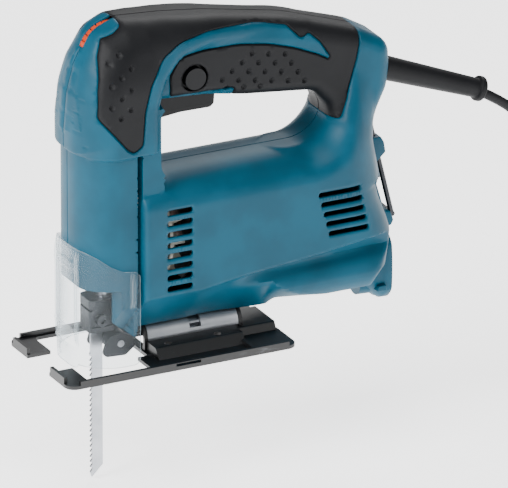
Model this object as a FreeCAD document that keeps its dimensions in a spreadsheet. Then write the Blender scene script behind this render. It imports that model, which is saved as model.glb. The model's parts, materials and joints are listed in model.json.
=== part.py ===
import FreeCAD, Part
import math
import os

# Corded jigsaw. X runs from the blade (front, -X) to the cord (rear, +X), Y is left and right, Z is up.
# The origin is where the blade's centre line crosses the sole. All sizes are millimetres.

doc = FreeCAD.newDocument("jigsaw")
V = FreeCAD.Vector
nodes = {}

# ---------------------------------------------------------------- driving sizes
size = {
    "body_half": 31.0,
    "column_half": 26.0,
    "hood_half": 28.5,
    "handle_half": 17.5,
    "wall": 3.0,
    "rubber": 1.4,
    "edge_round": 7.6,
    "motor_z": 69.0,
    "gear_module": 0.8,
    "gear_teeth": 56.0,
    "pinion_teeth": 8.0,
    "gear_front": 14.0,
    "gear_width": 7.0,
    "stroke": 18.0,
    "rod_x": 5.0,
    "rod_radius": 4.5,
    "running_gap": 0.04,
    "stator_radius": 27.0,
    "stator_bore": 15.8,
    "core_radius": 15.2,
    "shaft_radius": 4.0,
    "fan_radius": 25.5,
    "tilt_z": 7.5,
    "tube_radius": 10.0,
    "tube_wall": 2.0,
    "tube_start": 27.0,
    "tube_end": 82.0,
    "sole_front": -35.0,
    "sole_rear": 104.5,
    "sole_half": 38.5,
    "sheet": 2.0,
    "rim_height": 4.4,
    "window_half": 34.6,
    "bolt_x": 56.0,
    "bolt_radius": 2.5,
    "roller_x": 9.9,
    "roller_z": 9.5,
    "blade_front": -4.0,
    "blade_back": 3.6,
    "blade_thick": 1.2,
    "blade_tip": -71.0,
    "tooth_pitch": 3.0,
    "cover_half": 27.8,
    "cover_front": -19.3,
    "cover_wall": 1.5,
    "dial_x": 9.0,
    "dial_z": 177.0,
    "dial_radius": 18.2,
    "lock_x": 52.0,
    "lock_z": 160.0,
    "lock_radius": 6.2,
    "screw_radius": 1.5,
    "cord_diameter": 5.6,
    "coil_radius": 33.0,
    "ground_z": -72.5,
    "key_radius": 1.6,
}
sheet = doc.addObject("Spreadsheet::Sheet", "sizes")
for row, (alias, number) in enumerate(size.items(), start=1):
    sheet.set("A%d" % row, alias)
    sheet.set("B%d" % row, "%g" % number)
    sheet.setAlias("B%d" % row, alias)
doc.recompute()

gear_pitch_radius = size["gear_module"] * size["gear_teeth"] / 2
pinion_pitch_radius = size["gear_module"] * size["pinion_teeth"] / 2
gear_z = size["motor_z"] + gear_pitch_radius + pinion_pitch_radius
crank_throw = size["stroke"] / 2


# ---------------------------------------------------------------- outlines
def text(value):
    return value if isinstance(value, str) else "%.6g" % value


def unit(vector):
    return vector * (1.0 / vector.Length)


def corner_arc(before, corner, after, radius):
    back = before - corner
    ahead = after - corner
    half = unit(back).getAngle(unit(ahead)) / 2
    if radius <= 0 or half > math.radians(89.5):
        return None
    run = min(radius / math.tan(half), 0.49 * back.Length, 0.49 * ahead.Length)
    radius = run * math.tan(half)
    middle = unit(unit(back) + unit(ahead))
    centre = corner + middle * (radius / math.sin(half))
    return corner + unit(back) * run, centre - middle * radius, corner + unit(ahead) * run


def outline_edges(points):
    # Each point is (u, v, corner radius). Straight edges are joined by tangent arcs.
    spots = [V(u, v, 0) for u, v, radius in points]
    count = len(spots)
    joins = []
    for i in range(count):
        arc = corner_arc(spots[i - 1], spots[i], spots[(i + 1) % count], points[i][2])
        joins.append(arc)
    edges = []
    for i in range(count):
        arc = joins[i]
        following = joins[(i + 1) % count]
        if arc:
            edges.append(Part.Arc(arc[0], arc[1], arc[2]))
        start = arc[2] if arc else spots[i]
        end = following[0] if following else spots[(i + 1) % count]
        if (end - start).Length > 1e-6:
            edges.append(Part.LineSegment(start, end))
    return edges


def inset(points, distance):
    # Moves every side of a closed outline inwards, and lets the corner radii follow.
    if not distance:
        return points
    spots = [V(u, v, 0) for u, v, radius in points]
    count = len(spots)
    area = sum(spots[i - 1].x * spots[i].y - spots[i].x * spots[i - 1].y for i in range(count))
    turn = 1 if area > 0 else -1
    moved = []
    for i in range(count):
        first = unit(spots[i] - spots[i - 1])
        second = unit(spots[(i + 1) % count] - spots[i])
        first_side = V(-first.y, first.x, 0) * turn
        second_side = V(-second.y, second.x, 0) * turn
        blend = first_side + second_side
        shift = blend * (2 * distance / (blend.Length * blend.Length))
        convex = (first.x * second.y - first.y * second.x) * turn > 0
        radius = points[i][2] - distance if convex else points[i][2] + distance
        corner = spots[i] + shift
        moved.append((corner.x, corner.y, max(radius, 0.4)))
    return moved


def mirrored(points):
    # Completes a symmetric outline from its positive side.
    return points + [(-u, v, radius) for u, v, radius in reversed(points)]


def mirrored_across(middle, points):
    # Completes an outline that is symmetric about v = middle from its upper side.
    upper = [(u, middle + v, radius) for u, v, radius in points]
    lower = [(u, middle - v, radius) for u, v, radius in points]
    return lower + upper[::-1]


def slot(u0, u1, v, height):
    half = height / 2
    return [
        (u0, v - half, half * 0.96),
        (u1, v - half, half * 0.96),
        (u1, v + half, half * 0.96),
        (u0, v + half, half * 0.96),
    ]


def box_outline(u0, u1, v0, v1, radius=0.0):
    return [(u0, v0, radius), (u1, v0, radius), (u1, v1, radius), (u0, v1, radius)]


# ---------------------------------------------------------------- building blocks
def prism(name, plane, loops, low, high):
    # Pads closed outlines drawn on an origin plane, from low to high along that plane's axis.
    body = doc.addObject("PartDesign::Body", name)
    body.Label = name
    sketch = body.newObject("Sketcher::SketchObject", name + "_outline")
    support = [item for item in body.Origin.OriginFeatures if item.Role == plane][0]
    sketch.AttachmentSupport = [(support, "")]
    sketch.MapMode = "FlatFace"
    start = "-(%s)" % text(high) if plane == "XZ_Plane" else text(low)
    sketch.setExpression("AttachmentOffset.Base.z", start)
    for loop in loops:
        for edge in outline_edges(loop):
            sketch.addGeometry(edge, False)
    pad = body.newObject("PartDesign::Pad", name + "_pad")
    pad.Profile = sketch
    pad.setExpression("Length", "(%s) - (%s)" % (text(high), text(low)))
    body.Tip = pad
    return body


def turned(name, points, centre, along="X"):
    # A solid of revolution. Each point is (distance along the axis, radius, corner radius).
    body = doc.addObject("PartDesign::Body", name)
    body.Label = name
    sketch = body.newObject("Sketcher::SketchObject", name + "_section")
    support = [item for item in body.Origin.OriginFeatures if item.Role == "XY_Plane"][0]
    sketch.AttachmentSupport = [(support, "")]
    sketch.MapMode = "FlatFace"
    for edge in outline_edges(points):
        sketch.addGeometry(edge, False)
    axis = [item for item in body.Origin.OriginFeatures if item.Role == "X_Axis"][0]
    spin = body.newObject("PartDesign::Revolution", name + "_turn")
    spin.Profile = sketch
    spin.ReferenceAxis = (axis, [""])
    spin.Angle = 360
    body.Tip = spin
    turn = {"X": (V(0, 0, 1), 0), "Y": (V(0, 0, 1), 90), "Z": (V(0, 1, 0), -90)}[along]
    body.Placement = FreeCAD.Placement(V(*centre), FreeCAD.Rotation(*turn))
    return body


def block(name, x, y, z):
    made = doc.addObject("Part::Box", name)
    made.Label = name
    for side, base, (low, high) in (("Length", "x", x), ("Width", "y", y), ("Height", "z", z)):
        made.setExpression(side, "(%s) - (%s)" % (text(high), text(low)))
        made.setExpression("Placement.Base." + base, text(low))
    return made


def rod(name, along, across, low, high, radius):
    # A cylinder along X, Y or Z. across gives the other two coordinates, in X, Y, Z order.
    made = doc.addObject("Part::Cylinder", name)
    made.Label = name
    turn = {"X": (V(0, 1, 0), 90), "Y": (V(1, 0, 0), -90), "Z": (V(0, 0, 1), 0)}[along]
    made.Placement = FreeCAD.Placement(V(), FreeCAD.Rotation(*turn))
    others = [letter for letter in "XYZ" if letter != along]
    made.setExpression("Placement.Base." + along.lower(), text(low))
    for letter, value in zip(others, across):
        made.setExpression("Placement.Base." + letter.lower(), text(value))
    made.setExpression("Height", "(%s) - (%s)" % (text(high), text(low)))
    made.setExpression("Radius", text(radius))
    return made


def rounded_rod(start, direction, length, radius, name):
    # A cylinder along any direction.
    made = doc.addObject("Part::Cylinder", name)
    made.Label = name
    made.Radius = radius
    made.Height = length
    made.Placement = FreeCAD.Placement(start, FreeCAD.Rotation(V(0, 0, 1), direction))
    return made


def union(name, *parts):
    made = doc.addObject("Part::MultiFuse", name)
    made.Label = name
    made.Shapes = list(parts)
    return made


def overlap(name, *parts):
    made = doc.addObject("Part::MultiCommon", name)
    made.Label = name
    made.Shapes = list(parts)
    return made


def minus(name, base, *tools):
    made = doc.addObject("Part::Cut", name)
    made.Label = name
    made.Base = base
    made.Tool = tools[0] if len(tools) == 1 else union(name + "_tools", *tools)
    return made


def keep(made):
    nodes[made.Label] = made
    return made


# ---------------------------------------------------------------- housing outlines
bodySide = [
    (12, 16.5, 5), (12, 107.5, 5), (135, 107.5, 12), (163.6, 104.5, 4), (168, 82, 30),
    (175.2, 57, 10), (176.8, 50, 4), (174, 43.5, 3), (172, 30, 4), (160, 21, 5),
    (102, 21, 3), (98.5, 16.5, 2),
]
bodyEnd = mirrored([(8.0, 16.3, 2), (31, 41, 4), (31, 110, 15)])
bodyPlan = [(12, -31, 3), (178, -31, 20), (178, 31, 20), (12, 31, 3)]
columnSide = [(-17, 47, 3), (27, 47, 3), (27, 122, 3), (-17, 122, 3)]
columnPlan = [(-17, -26, 12), (27, -26, 3), (27, 26, 3), (-17, 26, 12)]
hoodSide = [
    (-19, 118.5, 2), (27.3, 118.5, 3), (27.3, 150, 3), (40, 175, 10), (40, 195.6, 4),
    (10, 198.2, 12), (-3.5, 192.5, 12), (-13, 175, 20), (-17.5, 158, 20), (-19.3, 138, 10),
]
hoodPlan = [(-19.4, -28.5, 13), (41, -28.5, 12), (41, 28.5, 12), (-19.4, 28.5, 13)]
hoodEnd = mirrored([(28.5, 118, 1), (28.5, 165, 60), (21.0, 199, 15)])
spineSide = [
    (10, 197.4, 9), (39, 195.6, 60), (64, 192.6, 60), (112.5, 183.2, 90), (156, 168.6, 30),
    (172.8, 158.8, 11), (173.4, 146, 30), (171.8, 133, 16), (164.2, 117, 30), (163.2, 80, 9),
    (10, 80, 9),
]
handleGap = [
    (27.3, 107.6, 9.5), (126.5, 107.6, 26), (139.6, 124, 12), (126, 138.4, 9), (84, 143.2, 60),
    (60, 147.5, 20), (27.3, 149.5, 6),
]


def shaped_body(tag, depth):
    # The closed outside form of the housing, moved inwards by depth.
    def slab(name, plane, points, low, high):
        return prism(tag + name, plane, [inset(points, depth)], low, high)

    wide = size["body_half"] - depth
    motor = overlap(
        tag + "motor",
        slab("motor_side", "XZ_Plane", bodySide, -wide, wide),
        slab("motor_end", "YZ_Plane", bodyEnd, 0, 190),
        slab("motor_plan", "XY_Plane", bodyPlan, 0, 120),
    )
    column = overlap(
        tag + "column",
        slab("column_side", "XZ_Plane", columnSide, -40, 40),
        slab("column_plan", "XY_Plane", columnPlan, 0, 140),
    )
    hood = overlap(
        tag + "hood",
        slab("hood_side", "XZ_Plane", hoodSide, -40, 40),
        slab("hood_plan", "XY_Plane", hoodPlan, 100, 220),
        slab("hood_end", "YZ_Plane", hoodEnd, -40, 60),
    )
    narrow = size["handle_half"] - depth
    spine = prism(
        tag + "spine", "XZ_Plane", [inset(spineSide, depth), inset(handleGap, -depth)], -narrow, narrow
    )
    doc.recompute()
    pad = spine.Tip
    rounding = spine.newObject("PartDesign::Fillet", tag + "spine_round")
    flat = []
    for number, face in enumerate(pad.Shape.Faces, start=1):
        if abs(face.normalAt(0, 0).y) > 0.99:
            flat.append("Face%d" % number)
    rounding.Base = (pad, flat)
    rounding.setExpression("Radius", "sizes.edge_round - %g" % depth)
    spine.Tip = rounding
    return union(tag + "form", motor, column, hood, spine)


outer = shaped_body("outer_", 0.0)
under_rubber = shaped_body("under_rubber_", size["rubber"])
inner = shaped_body("inner_", size["wall"])

# ---------------------------------------------------------------- housing details
ventLoops = []
for i in range(8):
    ventLoops.append(slot(29.0, 43.8, 89.6 - 6.36 * i, 2.8))
for i in range(5):
    shift = 1.55 * i
    ventLoops.append(slot(120.7 + shift, 145.9 + shift, 83.5 - 5.9 * i, 2.7))
vents_left = prism("vents_left", "XZ_Plane", ventLoops, -33, -26.5)
vents_right = prism("vents_right", "XZ_Plane", ventLoops, 26.5, 33)

screwSpots = [(34.5, 183.6), (112, 163), (150, 152), (150, 94), (141, 30.5), (33, 27), (-8, 141)]
bosses = [
    rod("boss_%d" % i, "Y", (x, z), -31, 31, 4.8)
    for i, (x, z) in enumerate(screwSpots)
]
screw_holes = [rod("screw_hole_%d" % i, "Y", spot, -9, 40, 1.55) for i, spot in enumerate(screwSpots)]
head_holes = [rod("head_hole_%d" % i, "Y", spot, 11.5, 40, 3.5) for i, spot in enumerate(screwSpots)]

guard_start = V(173.6, 0, 139.4)
guard_slope = math.radians(21.3)
guard_way = V(math.cos(guard_slope), 0, -math.sin(guard_slope))
guard_length = 67.6

key_top = V(166.4, 0, 112.0)
key_bottom = V(181.0, 0, 51.5)
key_way = unit(key_bottom - key_top)

motor_ribs = []
for i, (low, high, radius) in enumerate(
    ((55, 57.5, "sizes.stator_radius + 0.05"), (83, 85.5, "sizes.stator_radius + 0.05"), (116, 123, 9.5))
):
    plate = block("rib_plate_%d" % i, (low, high), (-29, 29), (21, 105))
    hole = rod("rib_hole_%d" % i, "X", (0, "sizes.motor_z"), low - 1, high + 1, radius)
    motor_ribs.append(minus("rib_%d" % i, plate, hole))
rib_set = overlap("motor_ribs", union("rib_group", *motor_ribs), outer)

nut_boss = overlap("nut_boss", block("nut_boss_block", (48, 64), (-8, 8), (14, 30)), outer)
port_outer = prism("port_outer", "YZ_Plane", [box_outline(-10.2, 10.2, 4.8, 43.6, 10.1)], 150, 171)
port_flange = prism("port_flange", "YZ_Plane", [box_outline(-11.2, 11.2, 3.7, 44.7, 11.1)], 170, 176)
port_bore = prism("port_bore", "YZ_Plane", [box_outline(-8.4, 8.4, 6.6, 41.8, 8.3)], 152.5, 180)
key_clip = prism(
    "key_clip", "XZ_Plane",
    [[(160, 84, 1), (169, 84, 1.5), (175.6, 90, 1.5), (172.6, 99.5, 2), (160, 99.5, 1)]], -4, 4,
)
key_lug = prism(
    "key_lug", "XZ_Plane",
    [[(172, 46.6, 1), (179, 46.6, 1.5), (180.2, 49.2, 0.6), (176.6, 54.5, 1), (172, 56, 1)]],
    -5, 5,
)
shell = minus("shell_walls", outer, inner)
additions = overlap("boss_group", union("boss_rods", *bosses), outer)
shell = union(
    "shell_with_bosses", shell, additions, rib_set, nut_boss, port_outer, port_flange, key_clip, key_lug
)

openings = [
    vents_left,
    vents_right,
    port_bore,
    rod("tube_saddle", "X", (0, "sizes.tilt_z"), 8, 99.4, "sizes.tube_radius + 0.7"),
    block("plunger_opening", (-12, 13.5), (-12.5, 12.5), (40, 62)),
    block("column_passage", (-10, 26), (-19, 19), (118, 122)),
    block("gear_passage", (-4, 26), (-22.7, 22.7), (118, 122)),
    block("trigger_opening", (27.9, 72.0), (-7.4, 7.4), (138, 158)),
    rod("lock_opening", "Y", ("sizes.lock_x", "sizes.lock_z"), -20, -12, "sizes.lock_radius + 0.3"),
    rod("dial_opening", "Y", ("sizes.dial_x", "sizes.dial_z"), -4.3, 4.3, "sizes.dial_radius + 1.1"),
    rounded_rod(guard_start - guard_way * 12, guard_way, 25, 6.0, "guard_opening"),
    rounded_rod(key_top - key_way * 4, key_way, 72, size["key_radius"] + 0.05, "key_channel"),
    rod("bolt_way", "Z", ("sizes.bolt_x", 0), 10, 40, 2.8),
    block("nut_pocket", ("sizes.bolt_x - 4.6", "sizes.bolt_x + 4.6"), (-4.1, 4.1), (21.9, 26.1)),
    block("cover_groove_left", (5, 15.6), (-28.2, -26.02), (-2, 107)),
    block("cover_groove_right", (5, 15.6), (26.02, 28.2), (-2, 107)),
]
openings += screw_holes + head_holes

gripOutline = [
    (11, 206, 1), (10, 196, 3), (4.6, 192.8, 3), (-2, 190.5, 3), (-5.4, 182, 8), (-8.8, 164, 20),
    (-9.8, 149.4, 6), (6, 130, 4), (10, 127.2, 3), (15.6, 131, 4), (17, 150, 20), (20.5, 164, 20),
    (29, 177.6, 14), (41, 184.4, 20), (58, 186.8, 40), (90, 185, 60), (108.7, 180.4, 3),
    (117, 171.6, 3), (122, 174, 2), (128.5, 167.8, 14), (136.2, 155.6, 1), (127, 160.9, 30),
    (112.7, 167.3, 60), (97, 172.2, 60), (79, 175.2, 60), (56.6, 175.6, 40), (43, 173.6, 8), (36.9, 164, 8),
    (37.6, 150.6, 3), (76, 150.6, 2), (79, 120, 1), (126, 120, 1), (133, 121.2, 3), (139.5, 121.2, 4),
    (144, 132, 20), (150.6, 154, 30), (154, 170.4, 10), (156, 206, 1),
]
grip_prism = prism("grip_region", "XZ_Plane", [gripOutline], -40, 40)
grip_skin = overlap("grip_skin", minus("rubber_layer", outer, under_rubber), grip_prism)
grip_skin = minus("grip_skin_cut", grip_skin, *[
    rod("grip_lock_opening", "Y", ("sizes.lock_x", "sizes.lock_z"), -20, 0, "sizes.lock_radius + 1.8"),
    rod("grip_dial_opening", "Y", ("sizes.dial_x", "sizes.dial_z"), -4.3, 4.3, "sizes.dial_radius + 1.1"),
    block("grip_trigger_opening", (27.9, 72.0), (-7.4, 7.4), (138, 157)),
    *[rod("grip_head_hole_%d" % i, "Y", spot, 11.5, 40, 3.5) for i, spot in enumerate(screwSpots)],
])
housing = minus("housing_whole", shell, grip_skin, *openings)
left_side = block("left_side", (-60, 260), (-60, 0), (-20, 240))
right_side = block("right_side", (-60, 260), (0, 60), (-20, 240))
keep(overlap("housing_left", housing, left_side))
keep(overlap("housing_right", housing, right_side))
keep(overlap("grip_left", grip_skin, left_side))
keep(overlap("grip_right", grip_skin, right_side))

screws = []
for i, (x, z) in enumerate(screwSpots):
    shank = rod("shank_%d" % i, "Y", (x, z), -8.5, 12, "sizes.screw_radius")
    head = rod("head_%d" % i, "Y", (x, z), 11.5, 14, 3.1)
    socket = rod("socket_%d" % i, "Y", (x, z), 12.6, 15, 1.2)
    screws.append(minus("screw_%d" % i, union("screw_blank_%d" % i, shank, head), socket))
keep(union("housing_screws", *screws))

# ---------------------------------------------------------------- gear housing and bearings
plate = block("gear_plate", (21.6, 23.9), (-22.5, 22.5), (48, 133))
lower_bridge = block("lower_bridge", (-6, 22), (-11.8, 11.8), (54.6, 62.5))
upper_bridge = block("upper_bridge", (-6, 22), (-11, 11), (121, 133))
bearing_cup = rod("bearing_cup", "X", (0, "sizes.motor_z"), 23.5, 31.6, 14)
axle_cup = rod("axle_cup", "X", (0, gear_z), 23.5, 31, 8)
gear_housing = minus(
    "gear_housing",
    union("gear_housing_blank", plate, lower_bridge, upper_bridge, bearing_cup, axle_cup),
    rod("bearing_seat", "X", (0, "sizes.motor_z"), 20, 33, 11),
    rod("axle_seat", "X", (0, gear_z), 20, 33, "sizes.shaft_radius"),
    rod("lower_bush_seat", "Z", ("sizes.rod_x", 0), 53, 64, 7.5),
    rod("upper_bush_seat", "Z", ("sizes.rod_x", 0), 120, 134, 7.5),
)
keep(gear_housing)
for label, low, high in (("lower_bushing", 54.6, 62.5), ("upper_bushing", 121, 133)):
    outside = rod(label + "_outside", "Z", ("sizes.rod_x", 0), low, high, 7.5)
    rod_fit = "sizes.rod_radius + sizes.running_gap"
    inside = rod(label + "_bore", "Z", ("sizes.rod_x", 0), low - 1, high + 1, rod_fit)
    keep(minus(label, outside, inside))
keep(turned("gear_axle", [(0, 0, 0), (17, 0, 0), (17, 4, 0.5), (0, 4, 0.5)], (14, 0, gear_z)))
for label, low, high, radius in (("front_bearing", 24.2, 31.2, 11.0), ("rear_bearing", 116, 123, 9.5)):
    ring = rod(label + "_ring", "X", (0, "sizes.motor_z"), low, high, radius)
    shaft_fit = "sizes.shaft_radius + sizes.running_gap"
    bore = rod(label + "_bore", "X", (0, "sizes.motor_z"), low - 1, high + 1, shaft_fit)
    mark = minus(
        label + "_shield",
        rod(label + "_shield_outside", "X", (0, "sizes.motor_z"), high - 0.5, high + 1, radius - 1.8),
        rod(label + "_shield_inside", "X", (0, "sizes.motor_z"), high - 1, high + 2, 5.6),
    )
    keep(minus(label, ring, bore, mark))


# ---------------------------------------------------------------- gears
def gear_outline(teeth, shift, tip_radius, slack, first_tooth):
    # Involute flanks from the base circle to the tip, with radial roots.
    module = size["gear_module"]
    pressure = math.radians(20)
    pitch_radius = module * teeth / 2
    base_radius = pitch_radius * math.cos(pressure)
    root_radius = pitch_radius - module * (1.25 - shift)
    tooth_width = module * (math.pi / 2 + 2 * shift * math.tan(pressure)) - slack
    half_at_base = tooth_width / (2 * pitch_radius) + math.tan(pressure) - pressure
    start_radius = max(base_radius, root_radius)
    flank = []
    for step in range(6):
        radius = start_radius + (tip_radius - start_radius) * step / 5
        roll = math.acos(min(1.0, base_radius / radius))
        flank.append((radius, half_at_base - (math.tan(roll) - roll)))
    if root_radius < start_radius:
        flank.insert(0, (root_radius, flank[0][1]))
    points = []
    for tooth in range(teeth):
        middle = first_tooth + 2 * math.pi * tooth / teeth
        for radius, half in flank:
            points.append((radius * math.cos(middle - half), radius * math.sin(middle - half)))
        for radius, half in reversed(flank):
            points.append((radius * math.cos(middle + half), radius * math.sin(middle + half)))
    return points


def toothed(name, points, low, high, z):
    # A straight toothed wheel along X. Angles are measured from +Y towards +Z.
    spots = [V(low, y, up + z) for y, up in points]
    face = Part.Face(Part.makePolygon(spots + spots[:1]))
    made = doc.addObject("Part::Feature", name)
    made.Label = name
    made.Shape = face.extrude(V(high - low, 0, 0))
    return made


gear_teeth = int(size["gear_teeth"])
pinion_teeth = int(size["pinion_teeth"])
gear_rear = size["gear_front"] + size["gear_width"]
tooth_slack = 0.08
gear_points = gear_outline(
    gear_teeth, -0.53, 22.76, tooth_slack, -math.pi / 2 + math.pi / gear_teeth
)
pinion_points = gear_outline(pinion_teeth, 0.53, 4.25, tooth_slack, math.pi / 2)

gear_blank = toothed("gear_blank", gear_points, size["gear_front"], gear_rear, gear_z)
gear_bore = rod("gear_bore", "X", (0, gear_z), 10, 30, "sizes.shaft_radius + sizes.running_gap")
face_recess = minus(
    "face_recess",
    rod("recess_outside", "X", (0, gear_z), 19.5, 30, 19.2),
    rod("recess_inside", "X", (0, gear_z), 19, 31, 7.0),
)
crank_boss = rod("crank_boss", "X", (0, gear_z - crank_throw), 13.2, 14.5, 3.6)
crank_pin = rod("crank_pin", "X", (0, gear_z - crank_throw), 9.2, 14.5, 2.5)
keep(union("drive_gear", minus("gear_wheel", gear_blank, gear_bore, face_recess), crank_boss, crank_pin))
roller_outside = rod("yoke_roller_outside", "X", (0, gear_z - crank_throw), 9.4, 12.9, 4)
roller_inside = rod("yoke_roller_inside", "X", (0, gear_z - crank_throw), 9, 14, 2.5)
keep(minus("yoke_roller", roller_outside, roller_inside))

# ---------------------------------------------------------------- plunger and blade
yoke_z = gear_z - crank_throw
yoke = prism(
    "yoke", "YZ_Plane",
    [
        box_outline(-18, 18, yoke_z - 9.4, yoke_z + 9.4, 3),
        box_outline(-13.6, 13.6, yoke_z - 6.3, yoke_z + 6.3, 3),
    ],
    9.5, 12.8,
)
yoke_saddle = block("yoke_saddle", (5, 9.6), (-4.4, 4.4), (yoke_z - 9.4, yoke_z + 9.4))
plunger_rod = rod("plunger_rod", "Z", ("sizes.rod_x", 0), 29.5, 139.5, "sizes.rod_radius")
yoke_relief = block("yoke_relief", (8.9, 14), (-13.6, 13.6), (yoke_z - 6.3, yoke_z + 6.3))
keep(minus("plunger", union("plunger_blank", yoke, yoke_saddle, plunger_rod), yoke_relief))

clamp_blank = prism("clamp_blank", "XY_Plane", [box_outline(-7, 10, -8, 8, 3.5)], 17, 36)
clamp_bolt_face = block("clamp_side", (-9, 12), (-9, -6.6), (20, 33))
blade_slot = block(
    "blade_slot", ("sizes.blade_front - 0.1", "sizes.blade_back + 0.1"),
    ("-sizes.blade_thick / 2", "sizes.blade_thick / 2"), (10, 29.5),
)
rod_socket = rod("rod_socket", "Z", ("sizes.rod_x", 0), 29.5, 40, "sizes.rod_radius")
screw_seat = rod("clamp_screw_seat", "Y", (-0.2, 24), -12, -0.6, 2.0)
waist = minus(
    "clamp_waist",
    block("waist_outside", (-9, 12), (-9, 9), (29.6, 31)),
    prism("waist_inside", "XY_Plane", [box_outline(-5.8, 8.8, -6.8, 6.8, 3)], 29, 32),
)
keep(minus("blade_clamp", clamp_blank, clamp_bolt_face, blade_slot, rod_socket, screw_seat, waist))
clamp_screw_blank = union(
    "clamp_screw_blank",
    rod("clamp_screw_shank", "Y", (-0.2, 24), -7, -0.6, 2.0),
    rod("clamp_screw_head", "Y", (-0.2, 24), -9.2, -6.6, 3.4),
)
clamp_socket = prism(
    "clamp_socket", "XZ_Plane",
    [[(-0.2 + 1.75 * math.cos(math.pi / 3 * i), 24 + 1.75 * math.sin(math.pi / 3 * i), 0) for i in range(6)]],
    -10, -7.6,
)
keep(minus("clamp_screw", clamp_screw_blank, clamp_socket))


def blade_outline():
    # Teeth point up and forwards. The back is straight, and the toe slopes to the back.
    front = size["blade_front"]
    back = size["blade_back"]
    pitch = size["tooth_pitch"]
    tip = size["blade_tip"]
    shank = front + 0.4
    points = [(back, tip + 6.5, 0), (back, 29.2, 0), (shank, 29.2, 0), (shank, 3.0, 0), (front, 2.0, 0)]
    top = 1.0
    count = int((top - tip - 2) / pitch)
    for i in range(count):
        level = top - pitch * i
        points.append((front, level, 0))
        points.append((front + 1.5, level - 0.7, 0))
        points.append((front + 1.2, level - 1.5, 0))
    points.append((front, top - pitch * count, 0))
    points.append((front + 1.0, tip, 0))
    return points


keep(prism("blade", "XZ_Plane", [blade_outline()], "-sizes.blade_thick / 2", "sizes.blade_thick / 2"))

# ---------------------------------------------------------------- motor
slots_in_stator = []
for i, angle in enumerate((38, 118, 218, 298)):
    sector = doc.addObject("Part::Cylinder", "stator_slot_%d" % i)
    sector.Label = sector.Name
    sector.Radius = 23.9
    sector.Height = 60
    sector.Angle = 24
    sector.Placement = FreeCAD.Placement(
        V(48, 0, size["motor_z"]),
        FreeCAD.Rotation(V(1, 0, 0), angle).multiply(FreeCAD.Rotation(V(0, 1, 0), 90)),
    )
    slots_in_stator.append(sector)
stator_core = minus(
    "stator_core",
    rod("stator_outside", "X", (0, "sizes.motor_z"), 51, 89, "sizes.stator_radius"),
    rod("stator_bore_cut", "X", (0, "sizes.motor_z"), 50, 90, "sizes.stator_bore"),
)
slot_ring = minus(
    "slot_ring",
    union("slot_sectors", *slots_in_stator),
    rod("slot_inside", "X", (0, "sizes.motor_z"), 40, 120, 17.6),
)
keep(minus("stator", stator_core, slot_ring))
coils = []
for side in (0, 1):
    sides = []
    for i, angle in enumerate((40 + 180 * side, 120 + 180 * side)):
        bar = doc.addObject("Part::Cylinder", "coil_bar_%d_%d" % (side, i))
        bar.Label = bar.Name
        bar.Radius = 23.4
        bar.Height = 47
        bar.Angle = 20
        bar.Placement = FreeCAD.Placement(
            V(46.6, 0, size["motor_z"]),
            FreeCAD.Rotation(V(1, 0, 0), angle).multiply(FreeCAD.Rotation(V(0, 1, 0), 90)),
        )
        sides.append(bar)
    for i, start in enumerate((46.6, 89.4)):
        turn = doc.addObject("Part::Cylinder", "coil_end_%d_%d" % (side, i))
        turn.Label = turn.Name
        turn.Radius = 23.4
        turn.Height = 4.2
        turn.Angle = 100
        turn.Placement = FreeCAD.Placement(
            V(start, 0, size["motor_z"]),
            FreeCAD.Rotation(V(1, 0, 0), 40 + 180 * side).multiply(FreeCAD.Rotation(V(0, 1, 0), 90)),
        )
        sides.append(turn)
    hollow = rod("coil_hollow_%d" % side, "X", (0, "sizes.motor_z"), 40, 120, 18.2)
    coils.append(minus("coil_%d" % side, union("coil_blank_%d" % side, *sides), hollow))
keep(union("field_coils", *coils))

shaft_steps = turned(
    "shaft_steps",
    [(12.6, 0, 0), (126, 0, 0), (126, 4, 0.6), (23.4, 4, 0.6), (22.4, 2.6, 0), (12.6, 2.6, 0)],
    (0, 0, size["motor_z"]),
)
pinion = toothed("pinion", pinion_points, 13, 22.2, size["motor_z"])
core = rod("armature_stack", "X", (0, "sizes.motor_z"), 52, 88, "sizes.core_radius")
core_slots = []
for i in range(12):
    angle = 2 * math.pi * i / 12
    core_slots.append(
        rod(
            "core_slot_%d" % i, "X",
            (14.6 * math.cos(angle), size["motor_z"] + 14.6 * math.sin(angle)), 51, 89, 1.0,
        )
    )
keep(union("armature_shaft", shaft_steps, pinion))
core_bore = rod("core_bore", "X", (0, "sizes.motor_z"), 40, 130, "sizes.shaft_radius")
keep(minus("armature_core", core, core_bore, *core_slots))
front_winding = turned(
    "front_winding", [(0, 4, 0), (0, 12, 2.5), (4.2, 13.5, 1), (4.2, 4, 0)], (47.8, 0, size["motor_z"])
)
rear_winding = turned(
    "rear_winding", [(0, 4, 0), (0, 13.5, 1), (6.5, 11, 3), (6.5, 4, 0)], (88, 0, size["motor_z"])
)
keep(union("armature_windings", front_winding, rear_winding))

bars = []
bar_count = 24
for i in range(bar_count):
    middle = 2 * math.pi * i / bar_count
    for offset, radius in ((-0.115, 9.0), (-0.095, 9.5), (0.095, 9.5), (0.115, 9.0)):
        angle = middle + offset
        bars.append((radius * math.cos(angle), size["motor_z"] + radius * math.sin(angle), 0))
commutator_bars = prism("commutator_bars", "YZ_Plane", [bars], 98, 111)
keep(minus("commutator", commutator_bars, core_bore))

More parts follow.
